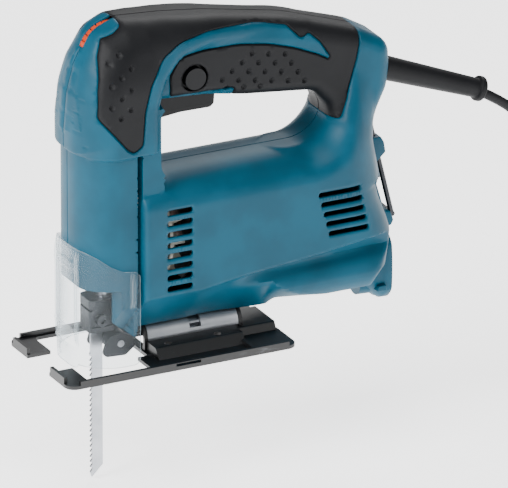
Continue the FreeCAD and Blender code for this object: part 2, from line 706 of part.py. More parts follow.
blades = []
blade_count = 12
for i in range(blade_count):
    angle = 2 * math.pi * i / blade_count
    vane = doc.addObject("Part::Box", "fan_vane_%d" % i)
    vane.Label = vane.Name
    vane.Length = 7.5
    vane.Width = 1.4
    vane.Height = size["fan_radius"] - 9.5
    vane.Placement = FreeCAD.Placement(
        V(34.5, 0, size["motor_z"]), FreeCAD.Rotation(V(1, 0, 0), math.degrees(angle))
    ).multiply(FreeCAD.Placement(V(0, -0.7, 9), FreeCAD.Rotation()))
    blades.append(vane)
fan_disc = rod("fan_disc", "X", (0, "sizes.motor_z"), 33, 35, "sizes.fan_radius")
fan_hub = rod("fan_hub", "X", (0, "sizes.motor_z"), 33, 43, 10)
fan_bore = rod("fan_bore", "X", (0, "sizes.motor_z"), 30, 45, "sizes.shaft_radius")
keep(minus("cooling_fan", union("fan_blank", fan_disc, fan_hub, *blades), fan_bore))
baffle_ring = overlap(
    "baffle_ring", rod("baffle_outside", "X", (0, "sizes.motor_z"), 44.5, 46.2, 30),
    block("baffle_box", (40, 50), (-27.9, 27.9), (44, 104)),
)
keep(minus("air_baffle", baffle_ring, rod("baffle_bore", "X", (0, "sizes.motor_z"), 40, 50, 16.5)))

holders = []
brushes = []
springs = []
for side in (-1, 1):
    reach = sorted((side * 12.0, side * 27.0))
    outside = block("holder_%d" % side, (100.4, 108.6), reach, (64.9, 73.1))
    inside = block("holder_hole_%d" % side, (102, 107), sorted((side * 11.0, side * 26.0)), (66, 72))
    holders.append(minus("holder_tube_%d" % side, outside, inside))
    brushes.append(block("brush_%d" % side, (102, 107), sorted((side * 9.55, side * 19.0)), (66, 72)))
    springs.append(
        minus(
            "brush_spring_%d" % side,
            rod("spring_outside_%d" % side, "Y", (104.5, 69), *sorted((side * 19.0, side * 26.0)), 2.4),
            rod("spring_inside_%d" % side, "Y", (104.5, 69), *sorted((side * 18.0, side * 27.0)), 1.7),
        )
    )
keep(union("brush_holders", *holders))
keep(union("carbon_brushes", *brushes))
keep(union("brush_springs", *springs))

# ---------------------------------------------------------------- controls
switch_body = block("switch_block", (34, 75), (-8, 8), (158, 178))
switch_foot = block("switch_foot", (40, 50), (-3, 3), (156.6, 158.5))
keep(union("switch_body", switch_body, switch_foot))
trigger_axis = (31.5, 154.6)
triggerSide = [
    (28.4, 135.4, 2), (48, 137.4, 40), (66.5, 137.2, 3), (68.6, 139.2, 2), (69.4, 150.4, 1),
    (66, 153.4, 0.4), (28.6, 153.4, 0.4),
]
trigger_lever = prism("trigger_lever", "XZ_Plane", [triggerSide], -6.9, 6.9)
trigger_flange = block("trigger_flange", (35, 66), (-8.4, 8.4), (153.0, 154.4))
trigger_knuckle = rod("trigger_knuckle", "Y", trigger_axis, -7.0, 7.0, 2.9)
trigger_bore = rod("trigger_bore", "Y", trigger_axis, -12, 12, 1.54)
keep(minus("trigger", union("trigger_blank", trigger_lever, trigger_flange, trigger_knuckle), trigger_bore))
keep(rod("trigger_pin", "Y", trigger_axis, -12.2, 12.2, 1.5))
lock_stem = rod("lock_stem", "Y", ("sizes.lock_x", "sizes.lock_z"), -18.6, -12.6, "sizes.lock_radius")
lock_flange = rod("lock_flange", "Y", ("sizes.lock_x", "sizes.lock_z"), -13.2, -12.0, 7.0)
keep(union("lock_button", lock_stem, lock_flange))
dial_points = []
notch_count = 30
for i in range(notch_count):
    middle = 2 * math.pi * i / notch_count
    for offset, depth in ((-0.075, 0.0), (0.075, 0.0), (0.105, 0.9)):
        angle = middle + offset
        radius = size["dial_radius"] - depth
        dial_points.append(
            (size["dial_x"] + radius * math.cos(angle), size["dial_z"] + radius * math.sin(angle), 0)
        )
dial_rim = prism("dial_rim", "XZ_Plane", [dial_points], -3.6, 3.6)
dial_bore = rod("dial_bore", "Y", ("sizes.dial_x", "sizes.dial_z"), -5, 5, 3.04)
keep(minus("speed_dial", dial_rim, dial_bore))
module_box = block("module_box", (1, 17), (4.4, 14), (168, 186))
module_shaft = rod("module_shaft", "Y", ("sizes.dial_x", "sizes.dial_z"), -4.2, 4.6, 3.0)
keep(union("speed_module", module_box, module_shaft))
keep(block("capacitor", (86, 104), (-6.5, 6.5), (166, 177)))

# ---------------------------------------------------------------- sole plate, tube and bolt
sole_sheet = prism(
    "sole_sheet", "XY_Plane",
    [box_outline(size["sole_front"], size["sole_rear"], -size["sole_half"], size["sole_half"], 6)],
    0, "sizes.sheet",
)
sole_window = prism(
    "sole_window", "XY_Plane",
    [box_outline(-21, 17.5, -size["window_half"], size["window_half"], 3)], -1, 8,
)
sole_neck = prism("sole_neck", "XY_Plane", [box_outline(10, 23.6, -16, 16, 2)], -1, 8)
sole_mouth = prism("sole_mouth", "XY_Plane", [box_outline(-40, -15, -13.5, 13.5, 1)], -1, 8)
channel_cut = block("channel_cut", (29, 76), (-23.4, 23.4), (-1, 3))
rear_channel_cut = block("rear_channel_cut", (75, 106), (-12, 12), (-1, 3))
raised = mirrored([(24.6, 0, 0.4), (25.6, 2, 0.4), (20.8, 7.5, 1.5)])
raised_under = mirrored([(22.4, -1, 0.3), (22.4, 0.6, 0.3), (19.4, 5.5, 1.2)])
plateau = minus(
    "plateau",
    prism("plateau_top", "YZ_Plane", [raised], 26, 79),
    prism("plateau_under", "YZ_Plane", [raised_under], 28, 77),
)
rear_raise = minus(
    "rear_raise",
    prism(
        "rear_raise_top", "YZ_Plane",
        [mirrored([(14.5, 0, 0.4), (14.5, 2, 0.4), (12, 6.2, 1.2)])], 78, 103,
    ),
    prism(
        "rear_raise_under", "YZ_Plane",
        [mirrored([(12, -1, 0.3), (12, 1, 0.3), (10.2, 4.3, 1)])], 77, 110,
    ),
)
rims = []
for side in (-1, 1):
    across = sorted((side * (size["sole_half"] - 2.0), side * size["sole_half"]))
    rims.append(block("rim_%d" % side, (-28, 99), across, (0, "sizes.rim_height")))
    inner_edge = sorted((side * 14.5, side * 32.0))
    rims.append(block("lip_%d" % side, ("sizes.sole_front", "sizes.sole_front + 2"), inner_edge, (0, 5.6)))
    rims.append(block("cross_rib_%d" % side, (77, 79.5), sorted((side * 14, side * 36.6)), (1, 4.4)))
bolt_access = prism("bolt_access", "XY_Plane", [box_outline(24, 79.5, -8, 8, 2)], 2, 8.5)
dark_holes = []
for i, (x, y, radius) in enumerate(((35.4, 17, 2.2), (65.6, 17, 2.2))):
    for side in (-1, 1):
        dark_holes.append(rod("sole_hole_%d_%d" % (i, side), "Z", (x, side * y), -1, 12, radius))
ears = []
for i, (low, high) in enumerate(((24.6, 26.6), (82.4, 84.4))):
    ear = union(
        "ear_%d" % i,
        rod("ear_ring_%d" % i, "X", (0, "sizes.tilt_z"), low, high, 10.2),
        block("ear_foot_%d" % i, (low, high), (-10.2, 10.2), (1.2, "sizes.tilt_z")),
    )
    hole = rod("ear_hole_%d" % i, "X", (0, "sizes.tilt_z"), low - 1, high + 1, 8.2)
    below = block("ear_low_%d" % i, (low - 1, high + 1), (-12, 12), (-6, 1.2))
    ears.append(minus("ear_cut_%d" % i, ear, hole, below))
cut_sheet = minus("cut_sheet", sole_sheet, sole_window, sole_neck, sole_mouth, channel_cut, rear_channel_cut)
side_slots = [
    block("rim_slot_%d" % side, (30, 45), sorted((side * 36, side * 39)), (2.4, 4.0)) for side in (-1, 1)
]
sole_blank = union("sole_blank", cut_sheet, plateau, rear_raise, *rims, *ears)
keep(minus("base_plate", sole_blank, bolt_access, *dark_holes, *side_slots))

tube_outside = rod(
    "tube_outside", "X", (0, "sizes.tilt_z"), "sizes.tube_start", "sizes.tube_end", "sizes.tube_radius"
)
tube_inside = rod("tube_inside", "X", (0, "sizes.tilt_z"), 20, 90, "sizes.tube_radius - sizes.tube_wall")
tube_half = block("tube_half", (20, 90), (-12, 12), (-5, "sizes.tilt_z"))
tube_slot = block("tube_slot", ("sizes.bolt_x - 3.5", "sizes.bolt_x + 3.5"), (-11, 11), (10.4, 20))
tube_hole = rod("tube_hole", "Z", (66.6, 0), 10, 20, 1.6)
keep(minus("bevel_tube", tube_outside, tube_inside, tube_half, tube_slot, tube_hole))
washer_round = overlap(
    "washer_round",
    rod("washer_curve", "X", (0, "sizes.tilt_z"), 49, 63, 7.65),
    block("washer_box", (49, 63), (-5.8, 5.8), (11.4, 20)),
)
washer_bore = rod("washer_bore", "Z", ("sizes.bolt_x", 0), 9, 20, "sizes.bolt_radius + 0.1")
keep(minus("clamp_washer", washer_round, washer_bore))
bolt_shank = rod("bolt_shank", "Z", ("sizes.bolt_x", 0), 9, 27, "sizes.bolt_radius")
bolt_head = rod("bolt_head", "Z", ("sizes.bolt_x", 0), 5.4, 9.4, 4.3)
bolt_hexagon = []
for i in range(6):
    angle = math.pi / 3 * i
    bolt_hexagon.append((size["bolt_x"] + 2.3 * math.cos(angle), 2.3 * math.sin(angle), 0))
bolt_socket = prism("bolt_socket", "XY_Plane", [bolt_hexagon], 4, 7.6)
keep(minus("clamp_bolt", union("bolt_blank", bolt_shank, bolt_head), bolt_socket))
nut_block = block("nut_block", ("sizes.bolt_x - 4.5", "sizes.bolt_x + 4.5"), (-4, 4), (22, 26))
keep(minus("clamp_nut", nut_block, rod("nut_bore", "Z", ("sizes.bolt_x", 0), 20, 30, "sizes.bolt_radius")))

# ---------------------------------------------------------------- roller guide
cheek = [(-1.4, 3, 3), (13, 2.2, 3), (18.2, 6.4, 1), (18.2, 12.4, 1), (12, 15.4, 5), (2, 14.6, 5)]
cheeks = [
    prism("cheek_left", "XZ_Plane", [cheek], -10.5, -9.0),
    prism("cheek_right", "XZ_Plane", [cheek], 9.0, 10.5),
]
web = block("retainer_web", (16.6, 18.2), (-10.5, 10.5), (6.4, 12.4))
arm = block("retainer_arm", (16.6, 68), (-5.8, 5.8), (9.45, 11.35))
arm_slot = prism("arm_slot", "XY_Plane", [box_outline(48, 59.5, -2.8, 2.8, 2.7)], 8, 13)
roller_pin = rod("roller_pin", "Y", ("sizes.roller_x", "sizes.roller_z"), -11, 11, 2.0)
pin_seat = rod("pin_seat", "Y", ("sizes.roller_x", "sizes.roller_z"), -12, 12, 2.0)
keep(minus("retainer", union("retainer_blank", *cheeks, web, arm), arm_slot, pin_seat))
keep(roller_pin)
roller_profile = [
    (-8.6, 2.04, 0), (8.6, 2.04, 0), (8.6, 6, 0.8), (1.6, 6, 0.3), (0.9, 4.8, 0.3), (-0.9, 4.8, 0.3),
    (-1.6, 6, 0.3), (-8.6, 6, 0.8),
]
keep(turned("guide_roller", roller_profile, (size["roller_x"], 0, size["roller_z"]), "Y"))

# ---------------------------------------------------------------- clear chip cover
cover_outside = prism(
    "cover_outside", "XY_Plane",
    [box_outline(size["cover_front"], 40, -size["cover_half"], size["cover_half"], 11.5)], 0.4, 72,
)
cover_inside = prism(
    "cover_inside", "XY_Plane",
    [box_outline(
        size["cover_front"] + size["cover_wall"], 50,
        -size["cover_half"] + size["cover_wall"], size["cover_half"] - size["cover_wall"], 10,
    )],
    -1, 80,
)
coverSide = [
    (-22, 3.0, 0), (13.8, 3.0, 4), (13.8, 57, 3), (2, 59, 20), (-10, 67, 20), (-22, 71.5, 1),
]
cover_side = prism("cover_side", "XZ_Plane", [coverSide], -40, 40)
skirt_limit = block("skirt_limit", (-22, -15), (-12.4, 12.4), (0.6, 8))
cover_skin = minus("cover_skin", cover_outside, cover_inside)
cover_ribs = []
for i, level in enumerate((12, 22)):
    rib = minus(
        "cover_rib_%d" % i,
        block("cover_rib_block_%d" % i, ("sizes.cover_front - 1.0", -15), (-15, 15), (level, level + 1.8)),
        cover_inside,
    )
    cover_ribs.append(rib)
cover_limit = union("cover_limit", cover_side, skirt_limit)
keep(union("chip_cover", overlap("cover_shape", cover_skin, cover_limit), *cover_ribs))

# ---------------------------------------------------------------- hex key at the rear
key_across = size["key_radius"]
hexagon = []
for i in range(6):
    angle = math.pi / 3 * i
    hexagon.append(V(key_across * math.cos(angle), key_across * math.sin(angle), 0))
long_face = Part.Face(Part.makePolygon(hexagon + hexagon[:1]))
key_turn = FreeCAD.Rotation(V(0, 0, 1), key_way)
long_arm = long_face.extrude(V(0, 0, (key_bottom - key_top).Length + 1.4))
long_arm.Placement = FreeCAD.Placement(key_top, key_turn)
short_arm = long_face.extrude(V(0, 0, 17))
short_arm.Placement = FreeCAD.Placement(key_bottom + V(0, -1.4, 0), FreeCAD.Rotation(V(0, 0, 1), V(0, 1, 0)))
key_solid = long_arm.fuse(short_arm).removeSplitter()
hex_key = doc.addObject("Part::Feature", "hex_key")
hex_key.Label = "hex_key"
hex_key.Shape = key_solid
keep(hex_key)

# ---------------------------------------------------------------- cord
guard_end = guard_start + guard_way * guard_length
guard_profile = [
    (-9, 2.7, 0), (guard_length, 2.7, 0), (guard_length, 7.1, 1.3), (guard_length - 3.6, 7.1, 1.3),
    (guard_length - 4.2, 5.5, 0.5), (2, 6.9, 0.5), (-4, 5.8, 0.4), (-4, 8.0, 0.6), (-7, 8.0, 0.6),
    (-7, 5.4, 0.3), (-9, 5.4, 0.5),
]
guard = turned("cord_guard", guard_profile, guard_start)
guard.Placement = FreeCAD.Placement(guard_start, FreeCAD.Rotation(V(1, 0, 0), guard_way))
keep(guard)
clamp_strap = block("strap", (146, 158), (-7, 7), (142.5, 146))
strap_holes = [rod("strap_hole_%d" % side, "Z", (148, side * 5), 140, 150, 1) for side in (-1, 1)]
keep(minus("cord_clamp", clamp_strap, *strap_holes))

cord_radius = size["cord_diameter"] / 2
coil_centre = V(321, -size["coil_radius"], 0)
turn_level = size["ground_z"] + cord_radius + 2 * size["cord_diameter"]
cordRoute = [
    guard_end - guard_way * 25, guard_end, V(267.5, 0, 90.8), V(275.3, 0, 46.5), V(267.5, 0, 2.2),
    V(270.5, 0, -31.0), V(295.0, 0, -54.5), V(coil_centre.x, 0, turn_level),
]


def tube_path(points):
    # Straight runs joined by tangent arcs. Returns the edges and their whole length.
    edges = []
    length = 0
    here = points[0]
    for i in range(1, len(points) - 1):
        back = points[i - 1] - points[i]
        ahead = points[i + 1] - points[i]
        half_turn = (math.pi - back.getAngle(ahead)) / 2
        run = 0.45 * min(back.Length, ahead.Length)
        radius = run / math.tan(half_turn)
        print("cord corner %d: turns %.1f degrees, radius %.1f mm" % (i, math.degrees(2 * half_turn), radius))
        start = points[i] + unit(back) * run
        end = points[i] + unit(ahead) * run
        middle = unit(unit(back) + unit(ahead))
        centre = points[i] + middle * (radius / math.cos(half_turn))
        edges.append(Part.LineSegment(here, start).toShape())
        edges.append(Part.Arc(start, centre - middle * radius, end).toShape())
        length += (start - here).Length + radius * 2 * half_turn
        here = end
    edges.append(Part.LineSegment(here, points[-1]).toShape())
    length += (points[-1] - here).Length
    return edges, length


def tube(name, points, radius):
    edges, length = tube_path(points)
    wire = Part.Wire(edges)
    direction = unit(points[1] - points[0])
    ring = Part.Wire([Part.Circle(points[0], direction, radius).toShape()])
    solid = wire.makePipeShell([ring], True, True)
    expected = math.pi * radius * radius * length
    print("%s: length %.1f mm, volume %.0f of %.0f cubic mm" % (name, length, solid.Volume, expected))
    made = doc.addObject("Part::Feature", name)
    made.Label = name
    made.Shape = solid
    return made, length


cord, hanging = tube("cord", cordRoute, cord_radius)
keep(cord)
bundle_half = 1.5 * size["cord_diameter"]
bundle_top = size["ground_z"] + 3 * size["cord_diameter"]
bundle_inside = size["coil_radius"] - bundle_half
bundle_outside = size["coil_radius"] + bundle_half
bundle_section = [
    (size["ground_z"], bundle_inside, 2.6), (size["ground_z"], bundle_outside, 2.6),
    (bundle_top, bundle_outside, 2.6), (bundle_top, bundle_inside, 2.6),
]
keep(turned("cord_coil", bundle_section, (coil_centre.x, coil_centre.y, 0), "Z"))
tie_low = coil_centre.x + bundle_inside - 0.9
tie_high = coil_centre.x + bundle_outside + 0.9
tie_across = (coil_centre.y - 3, coil_centre.y + 3)
tie_outside = block(
    "tie_outside", (tie_low - 1.2, tie_high + 1.2), tie_across, ("sizes.ground_z", bundle_top + 1.2)
)
tie_inside = block(
    "tie_inside", (tie_low, tie_high), (coil_centre.y - 4, coil_centre.y + 4),
    ("sizes.ground_z - 1", bundle_top),
)
keep(minus("cord_tie", tie_outside, tie_inside))

plug_z = size["ground_z"] + 9.0
plug_x = 244.0
plug_y = coil_centre.y - size["coil_radius"]
plug_body = prism(
    "plug_body", "XY_Plane",
    [mirrored_across(plug_y, [(plug_x, 12, 4), (plug_x + 22, 11, 6), (plug_x + 30, 6, 3)])],
    plug_z - 9, plug_z + 8,
)
plug_sleeve = rod("plug_sleeve", "X", (plug_y, plug_z), plug_x + 29, plug_x + 44, 4.6)
keep(union("plug", plug_body, plug_sleeve))
pins = []
for side in (-1, 1):
    pin_y = plug_y + side * 6.35
    pin_across = (pin_y - 0.75, pin_y + 0.75)
    pins.append(block("pin_%d" % side, (plug_x - 18, plug_x), pin_across, (plug_z - 3.2, plug_z + 3.2)))
pin_holes = rod("pin_holes", "Y", (plug_x - 14.5, plug_z), plug_y - 12, plug_y + 12, 1.6)
keep(minus("plug_blades", union("pin_pair", *pins), pin_holes))

# ---------------------------------------------------------------- checks and files
doc.recompute()
faulty = [item.Name for item in doc.Objects if "Invalid" in item.State or "Error" in item.State]
if faulty:
    raise RuntimeError("objects that did not build: " + ", ".join(faulty))
os.makedirs("parts", exist_ok=True)
for label, item in nodes.items():
    shape = item.Shape
    if shape.isNull() or not shape.isValid():
        raise RuntimeError("not a valid shape: " + label)
    box = shape.BoundBox
    print(
        "%-18s %d solid(s) volume %9.1f  x %7.2f %7.2f  y %7.2f %7.2f  z %7.2f %7.2f"
        % (label, len(shape.Solids), shape.Volume, box.XMin, box.XMax, box.YMin, box.YMax, box.ZMin, box.ZMax)
    )
    shape.exportStep("parts/%s.step" % label)
print("cord hanging length %.1f mm" % hanging)
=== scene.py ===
import json
import math

import bmesh
import bpy
import numpy as np
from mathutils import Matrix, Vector
from mathutils.geometry import delaunay_2d_cdt


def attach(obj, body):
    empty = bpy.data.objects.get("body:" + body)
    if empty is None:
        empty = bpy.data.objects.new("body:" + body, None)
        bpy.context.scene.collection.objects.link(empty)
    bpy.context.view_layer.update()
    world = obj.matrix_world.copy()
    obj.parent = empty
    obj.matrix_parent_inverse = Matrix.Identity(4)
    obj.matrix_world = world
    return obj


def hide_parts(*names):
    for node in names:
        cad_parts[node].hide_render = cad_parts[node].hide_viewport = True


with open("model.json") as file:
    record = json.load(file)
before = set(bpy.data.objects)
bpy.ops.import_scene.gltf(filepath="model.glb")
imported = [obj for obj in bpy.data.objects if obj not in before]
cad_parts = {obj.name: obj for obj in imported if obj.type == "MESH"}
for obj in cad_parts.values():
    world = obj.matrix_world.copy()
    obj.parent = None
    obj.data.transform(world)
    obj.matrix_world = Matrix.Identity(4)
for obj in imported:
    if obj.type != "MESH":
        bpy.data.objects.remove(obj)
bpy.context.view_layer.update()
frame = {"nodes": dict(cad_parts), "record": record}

nodes = frame["nodes"]
mm = 0.001
print("frame loaded,", len(nodes), "parts")

# camera: a long lens from the left, a little from the front and above
viewpoint = {"aim": (0.08757, -0.01788, 0.05662), "azimuth": -26.6, "elevation": 22.3, "distance": 8.0, "lens": 1037.6}


def directionOf(azimuth, elevation):
    a, e = math.radians(azimuth), math.radians(elevation)
    return Vector((math.sin(a) * math.cos(e), -math.cos(a) * math.cos(e), math.sin(e)))


cameraData = bpy.data.cameras.new("studioCamera")
cameraData.lens = viewpoint["lens"]
cameraData.sensor_width = 36
cameraData.clip_start, cameraData.clip_end = 0.5, 60
cameraObject = bpy.data.objects.new("studioCamera", cameraData)
bpy.context.scene.collection.objects.link(cameraObject)
away = directionOf(viewpoint["azimuth"], viewpoint["elevation"])
cameraObject.location = Vector(viewpoint["aim"]) + away * viewpoint["distance"]
cameraObject.rotation_mode = "QUATERNION"
cameraObject.rotation_quaternion = (-away).to_track_quat("-Z", "Y")
bpy.context.scene.camera = cameraObject


# materials: a socket that can be calculated with, and a finish that adds nodes
class Signal:
    def __init__(self, finish, socket):
        self.finish = finish
        self.socket = socket

    def __add__(self, other):
        return self.finish.math("ADD", self, other)

    def __sub__(self, other):
        return self.finish.math("SUBTRACT", self, other)

    def __rsub__(self, other):
        return self.finish.math("SUBTRACT", other, self)

    def __mul__(self, other):
        return self.finish.math("MULTIPLY", self, other)

    __radd__ = __add__
    __rmul__ = __mul__


class Finish:
    def __init__(self, name):
        self.material = bpy.data.materials.new(name)
        self.material.use_nodes = True
        self.tree = self.material.node_tree
        self.tree.nodes.clear()
        self.place = self.add("ShaderNodeTexCoord", output="Object")

    def add(self, kind, settings=None, sockets=None, output=0):
        # a node of any type: its settings first, then the values or links of its sockets
        node = self.tree.nodes.new(kind)
        for name, value in (settings or {}).items():
            if name == "stops":
                for number, (spot, colour) in enumerate(value):
                    stop = node.color_ramp.elements[number] if number < 2 else node.color_ramp.elements.new(spot)
                    stop.position = spot
                    stop.color = colour
            else:
                setattr(node, name, value)
        for key, value in (sockets or {}).items():
            if isinstance(value, Signal):
                self.tree.links.new(value.socket, node.inputs[key])
            else:
                node.inputs[key].default_value = value
        return Signal(self, node.outputs[output]) if len(node.outputs) else None

    def math(self, operation, first, second=0.0):
        return self.add("ShaderNodeMath", {"operation": operation}, {0: first, 1: second})

    def mix(self, share, first, second):
        return self.add("ShaderNodeMix", {"data_type": "RGBA"}, {0: share, 6: first, 7: second}, 2)

    def along(self, axis):
        # one coordinate of the place on the surface, in metres
        return self.add("ShaderNodeSeparateXYZ", None, {0: self.place}, "XYZ".index(axis))

    def noise(self, scale, detail=2.0, roughness=0.5, stretch=(1, 1, 1)):
        place = self.add("ShaderNodeVectorMath", {"operation": "MULTIPLY"}, {0: self.place, 1: stretch})
        return self.add(
            "ShaderNodeTexNoise", None, {"Vector": place, "Scale": scale, "Detail": detail, "Roughness": roughness}
        )

    def spread(self, value, low, high, toLow=0.0, toHigh=1.0):
        return self.add(
            "ShaderNodeMapRange", {"interpolation_type": "SMOOTHSTEP"},
            {"Value": value, "From Min": low, "From Max": high, "To Min": toLow, "To Max": toHigh},
        )

    def bump(self, height, strength, distance):
        return self.add("ShaderNodeBump", None, {"Height": height, "Strength": strength, "Distance": distance})

    def done(self, sockets):
        shader = self.add("ShaderNodeBsdfPrincipled", None, sockets)
        self.add("ShaderNodeOutputMaterial", None, {"Surface": shader})
        return self.material


def paint(code):
    # a colour written as six hexadecimal digits, as linear values
    parts = [int(code[i:i + 2], 16) / 255 for i in (0, 2, 4)]
    return tuple(p / 12.92 if p <= 0.04045 else ((p + 0.055) / 1.055) ** 2.4 for p in parts) + (1.0,)


def mouldedPlastic(name, base, shade, rough, grain, depth, coat=0.0):
    # spark-eroded moulding: fine grain, slightly uneven colour and gloss
    f = Finish(name)
    cloud = f.noise(38, 3, 0.55)
    fine = f.noise(grain, 2, 0.6)
    colour = f.mix(f.spread(cloud, 0.35, 0.65), paint(base), paint(shade))
    gloss = f.noise(14, 2, 0.5) * 0.10 + (rough - 0.05) + fine * 0.04
    return f.done({
        "Base Color": colour, "Roughness": gloss, "Normal": f.bump(fine, 0.35, depth), "Coat Weight": coat,
        "Coat Roughness": 0.3, "Specular IOR Level": 0.20,
    })


def machinedMetal(name, base, shade, rough, stretch, scale=900.0, depth=0.00002, metal=1.0):
    # drawn or ground metal: fine lines along one direction
    f = Finish(name)
    lines = f.noise(scale, 3, 0.6, stretch)
    cloud = f.noise(45, 3, 0.6)
    colour = f.mix(f.spread(cloud, 0.3, 0.7), paint(base), paint(shade))
    return f.done({
        "Base Color": colour, "Metallic": metal, "Roughness": rough - 0.08 + lines * 0.16 + cloud * 0.06,
        "Normal": f.bump(lines, 0.3, depth),
    })


def paintedSteel(name, base, edge, rough):
    # black baked paint with a little orange peel and paler wear where it has rubbed
    f = Finish(name)
    peel = f.noise(420, 2, 0.5)
    cloud = f.noise(30, 4, 0.6)
    scuff = f.spread(f.noise(160, 4, 0.7, (0.25, 1, 1)), 0.62, 0.80)
    colour = f.mix(scuff * 0.35, f.mix(f.spread(cloud, 0.3, 0.7), paint(base), paint(edge)), paint("8a8d92"))
    return f.done({
        "Base Color": colour, "Metallic": scuff * 0.3, "Roughness": rough + cloud * 0.12 - scuff * 0.08,
        "Normal": f.bump(peel, 0.25, 0.00006), "Specular IOR Level": 0.55,
    })


def laminatedCore(name, base, gap):
    # thin steel sheets stacked along the shaft
    f = Finish(name)
    sheets = f.math("SINE", f.along("X") * 9000.0)
    colour = f.mix(f.spread(sheets, -0.6, 0.2), paint(gap), paint(base))
    return f.done({"Base Color": colour, "Metallic": 0.8, "Roughness": f.noise(300) * 0.2 + 0.4,
                   "Normal": f.bump(sheets, 0.4, 0.00005)})


def woundCopper(name, base, shade):
    # enamelled wire laid side by side, with painted shade darkening the grooves between the wires
    f = Finish(name)
    wires = f.math("SINE", f.along("X") * 6000.0 + f.noise(60) * 6.0)
    # painted shade: the colour turns darker in the grooves between the wires, following the bump
    colour = f.mix(f.spread(wires, -0.8, 0.4), paint(shade), paint(base))
    return f.done({"Base Color": colour, "Metallic": 0.75, "Roughness": f.noise(200) * 0.2 + 0.28,
                   "Normal": f.bump(wires, 0.6, 0.0001)})


def clearPlastic(name):
    # polycarbonate: see-through and faintly blue, with light scratches, brighter where it turns away
    f = Finish(name)
    scratch = f.spread(f.noise(500, 4, 0.7, (1, 1, 0.06)), 0.68, 0.76)
    wave = f.noise(60, 2, 0.5)
    rim = f.add("ShaderNodeLayerWeight", None, {"Blend": 0.30}, 1)
    shell = f.add("ShaderNodeBsdfPrincipled", None, {
        "Base Color": f.mix(wave, paint("d6e2e8"), paint("e8f0f4")), "Roughness": wave * 0.06 + 0.04,
        "Specular IOR Level": 0.8, "Normal": f.bump(wave, 0.12, 0.0004),
    })
    clear = f.add("ShaderNodeBsdfTransparent", None, {"Color": (0.965, 0.98, 0.985, 1)})
    tinted = f.add("ShaderNodeBsdfTransparent", None, {"Color": (0.40, 0.46, 0.49, 1)})
    through = f.add("ShaderNodeMixShader", None, {0: f.spread(rim, 0.35, 0.95, 0.0, 0.9), 1: clear, 2: tinted})
    share = f.math("MINIMUM", f.spread(rim, 0.15, 0.95, 0.025, 0.70) + scratch * 0.05, 0.95)
    both = f.add("ShaderNodeMixShader", None, {0: share, 1: through, 2: shell})
    f.add("ShaderNodeOutputMaterial", None, {"Surface": both})
    f.material.surface_render_method = "BLENDED"
    return f.material


finishes = {
    "housing_teal": mouldedPlastic("mouldedTeal", "004a60", "004155", 0.44, 1500, 0.00006, 0.02),
    "grip_rubber": mouldedPlastic("gripRubber", "0f1013", "0b0c0f", 0.50, 1900, 0.00010),
    "black_plastic": mouldedPlastic("blackNylon", "101114", "0c0d0f", 0.42, 1700, 0.00006),
    "white_plastic": mouldedPlastic("naturalNylon", "d8d5c8", "cfcbbd", 0.45, 1500, 0.00005),
    "dial_orange": mouldedPlastic("orangeAcetal", "c9441c", "b83a16", 0.42, 1500, 0.00005),
    "cord_rubber": mouldedPlastic("cordRubber", "131417", "0f1012", 0.46, 2300, 0.00007),
    "steel_dark": paintedSteel("blackPaintedSteel", "0f1012", "0a0b0c", 0.34),
    "steel_bright": machinedMetal("groundSteel", "b9bcc1", "a5a8ae", 0.30, (1, 1, 0.05)),
    "steel_zinc": machinedMetal("zincPlate", "b6b9bd", "9fa3a8", 0.34, (0.08, 1, 1)),
    "screw_steel": machinedMetal("blackenedScrew", "3c3d40", "2e2f32", 0.36, (1, 0.2, 1)),
    "alloy": machinedMetal("dieCastAlloy", "9da0a3", "8b8e91", 0.48, (1, 1, 1), 600, 0.00006),
    "bronze": machinedMetal("sinteredBronze", "9a7440", "866232", 0.45, (1, 1, 1), 1400, 0.00005),
    "grease_steel": machinedMetal("greasedSteel", "8e8b84", "6f6a5f", 0.26, (0.1, 1, 1)),
    "carbon": mouldedPlastic("pressedCarbon", "2b2b2c", "222223", 0.50, 2600, 0.00006),
    "lamination": laminatedCore("steelSheets", "8f9196", "3b3c3f"),
    "copper": woundCopper("enamelledCopper", "5c2f1b", "2c150c"),
    "clear_cover": clearPlastic("clearPolycarbonate"),
}
slotOf = {row["node"]: row["material_slot"] for row in frame["record"]["subparts"]}
for name, part in nodes.items():
    part.data.materials.clear()
    part.data.materials.append(finishes[slotOf[name]])
print("finishes ready,", len(finishes))


# a finished mesh becomes a piece that rides on one body
def addMesh(name, data, slotName, body="housing"):
    piece = bpy.data.objects.new(name, data)
    bpy.context.scene.collection.objects.link(piece)
    data.materials.append(finishes[slotName])
    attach(piece, body)
    return piece


# cord: out of the guard, down behind the tool, then round and round beside it
cordForm = {
    "diameter": 0.0056, "length": 2.0, "coilCentre": (0.321, -0.033), "coilRadius": 0.033, "turnsWide": 3,
    "turnLevels": (-0.0585, -0.0641, -0.0697), "perTurn": 14,
}
hangingPoints = [
    (0.21329, 0.0, 0.12392), (0.23658, 0.0, 0.11484), (0.2675, 0.0, 0.0908), (0.2753, 0.0, 0.0465),
    (0.2675, 0.0, 0.0022), (0.2705, 0.0, -0.0310), (0.2950, 0.0, -0.0545),
]


tailPoints = [
    (0.3210, -0.0716, -0.0697), (0.3060, -0.0714, -0.0690), (0.2975, -0.0690, -0.0668), (0.2890, -0.0662, -0.0640),
    (0.2800, -0.0660, -0.0635),
]


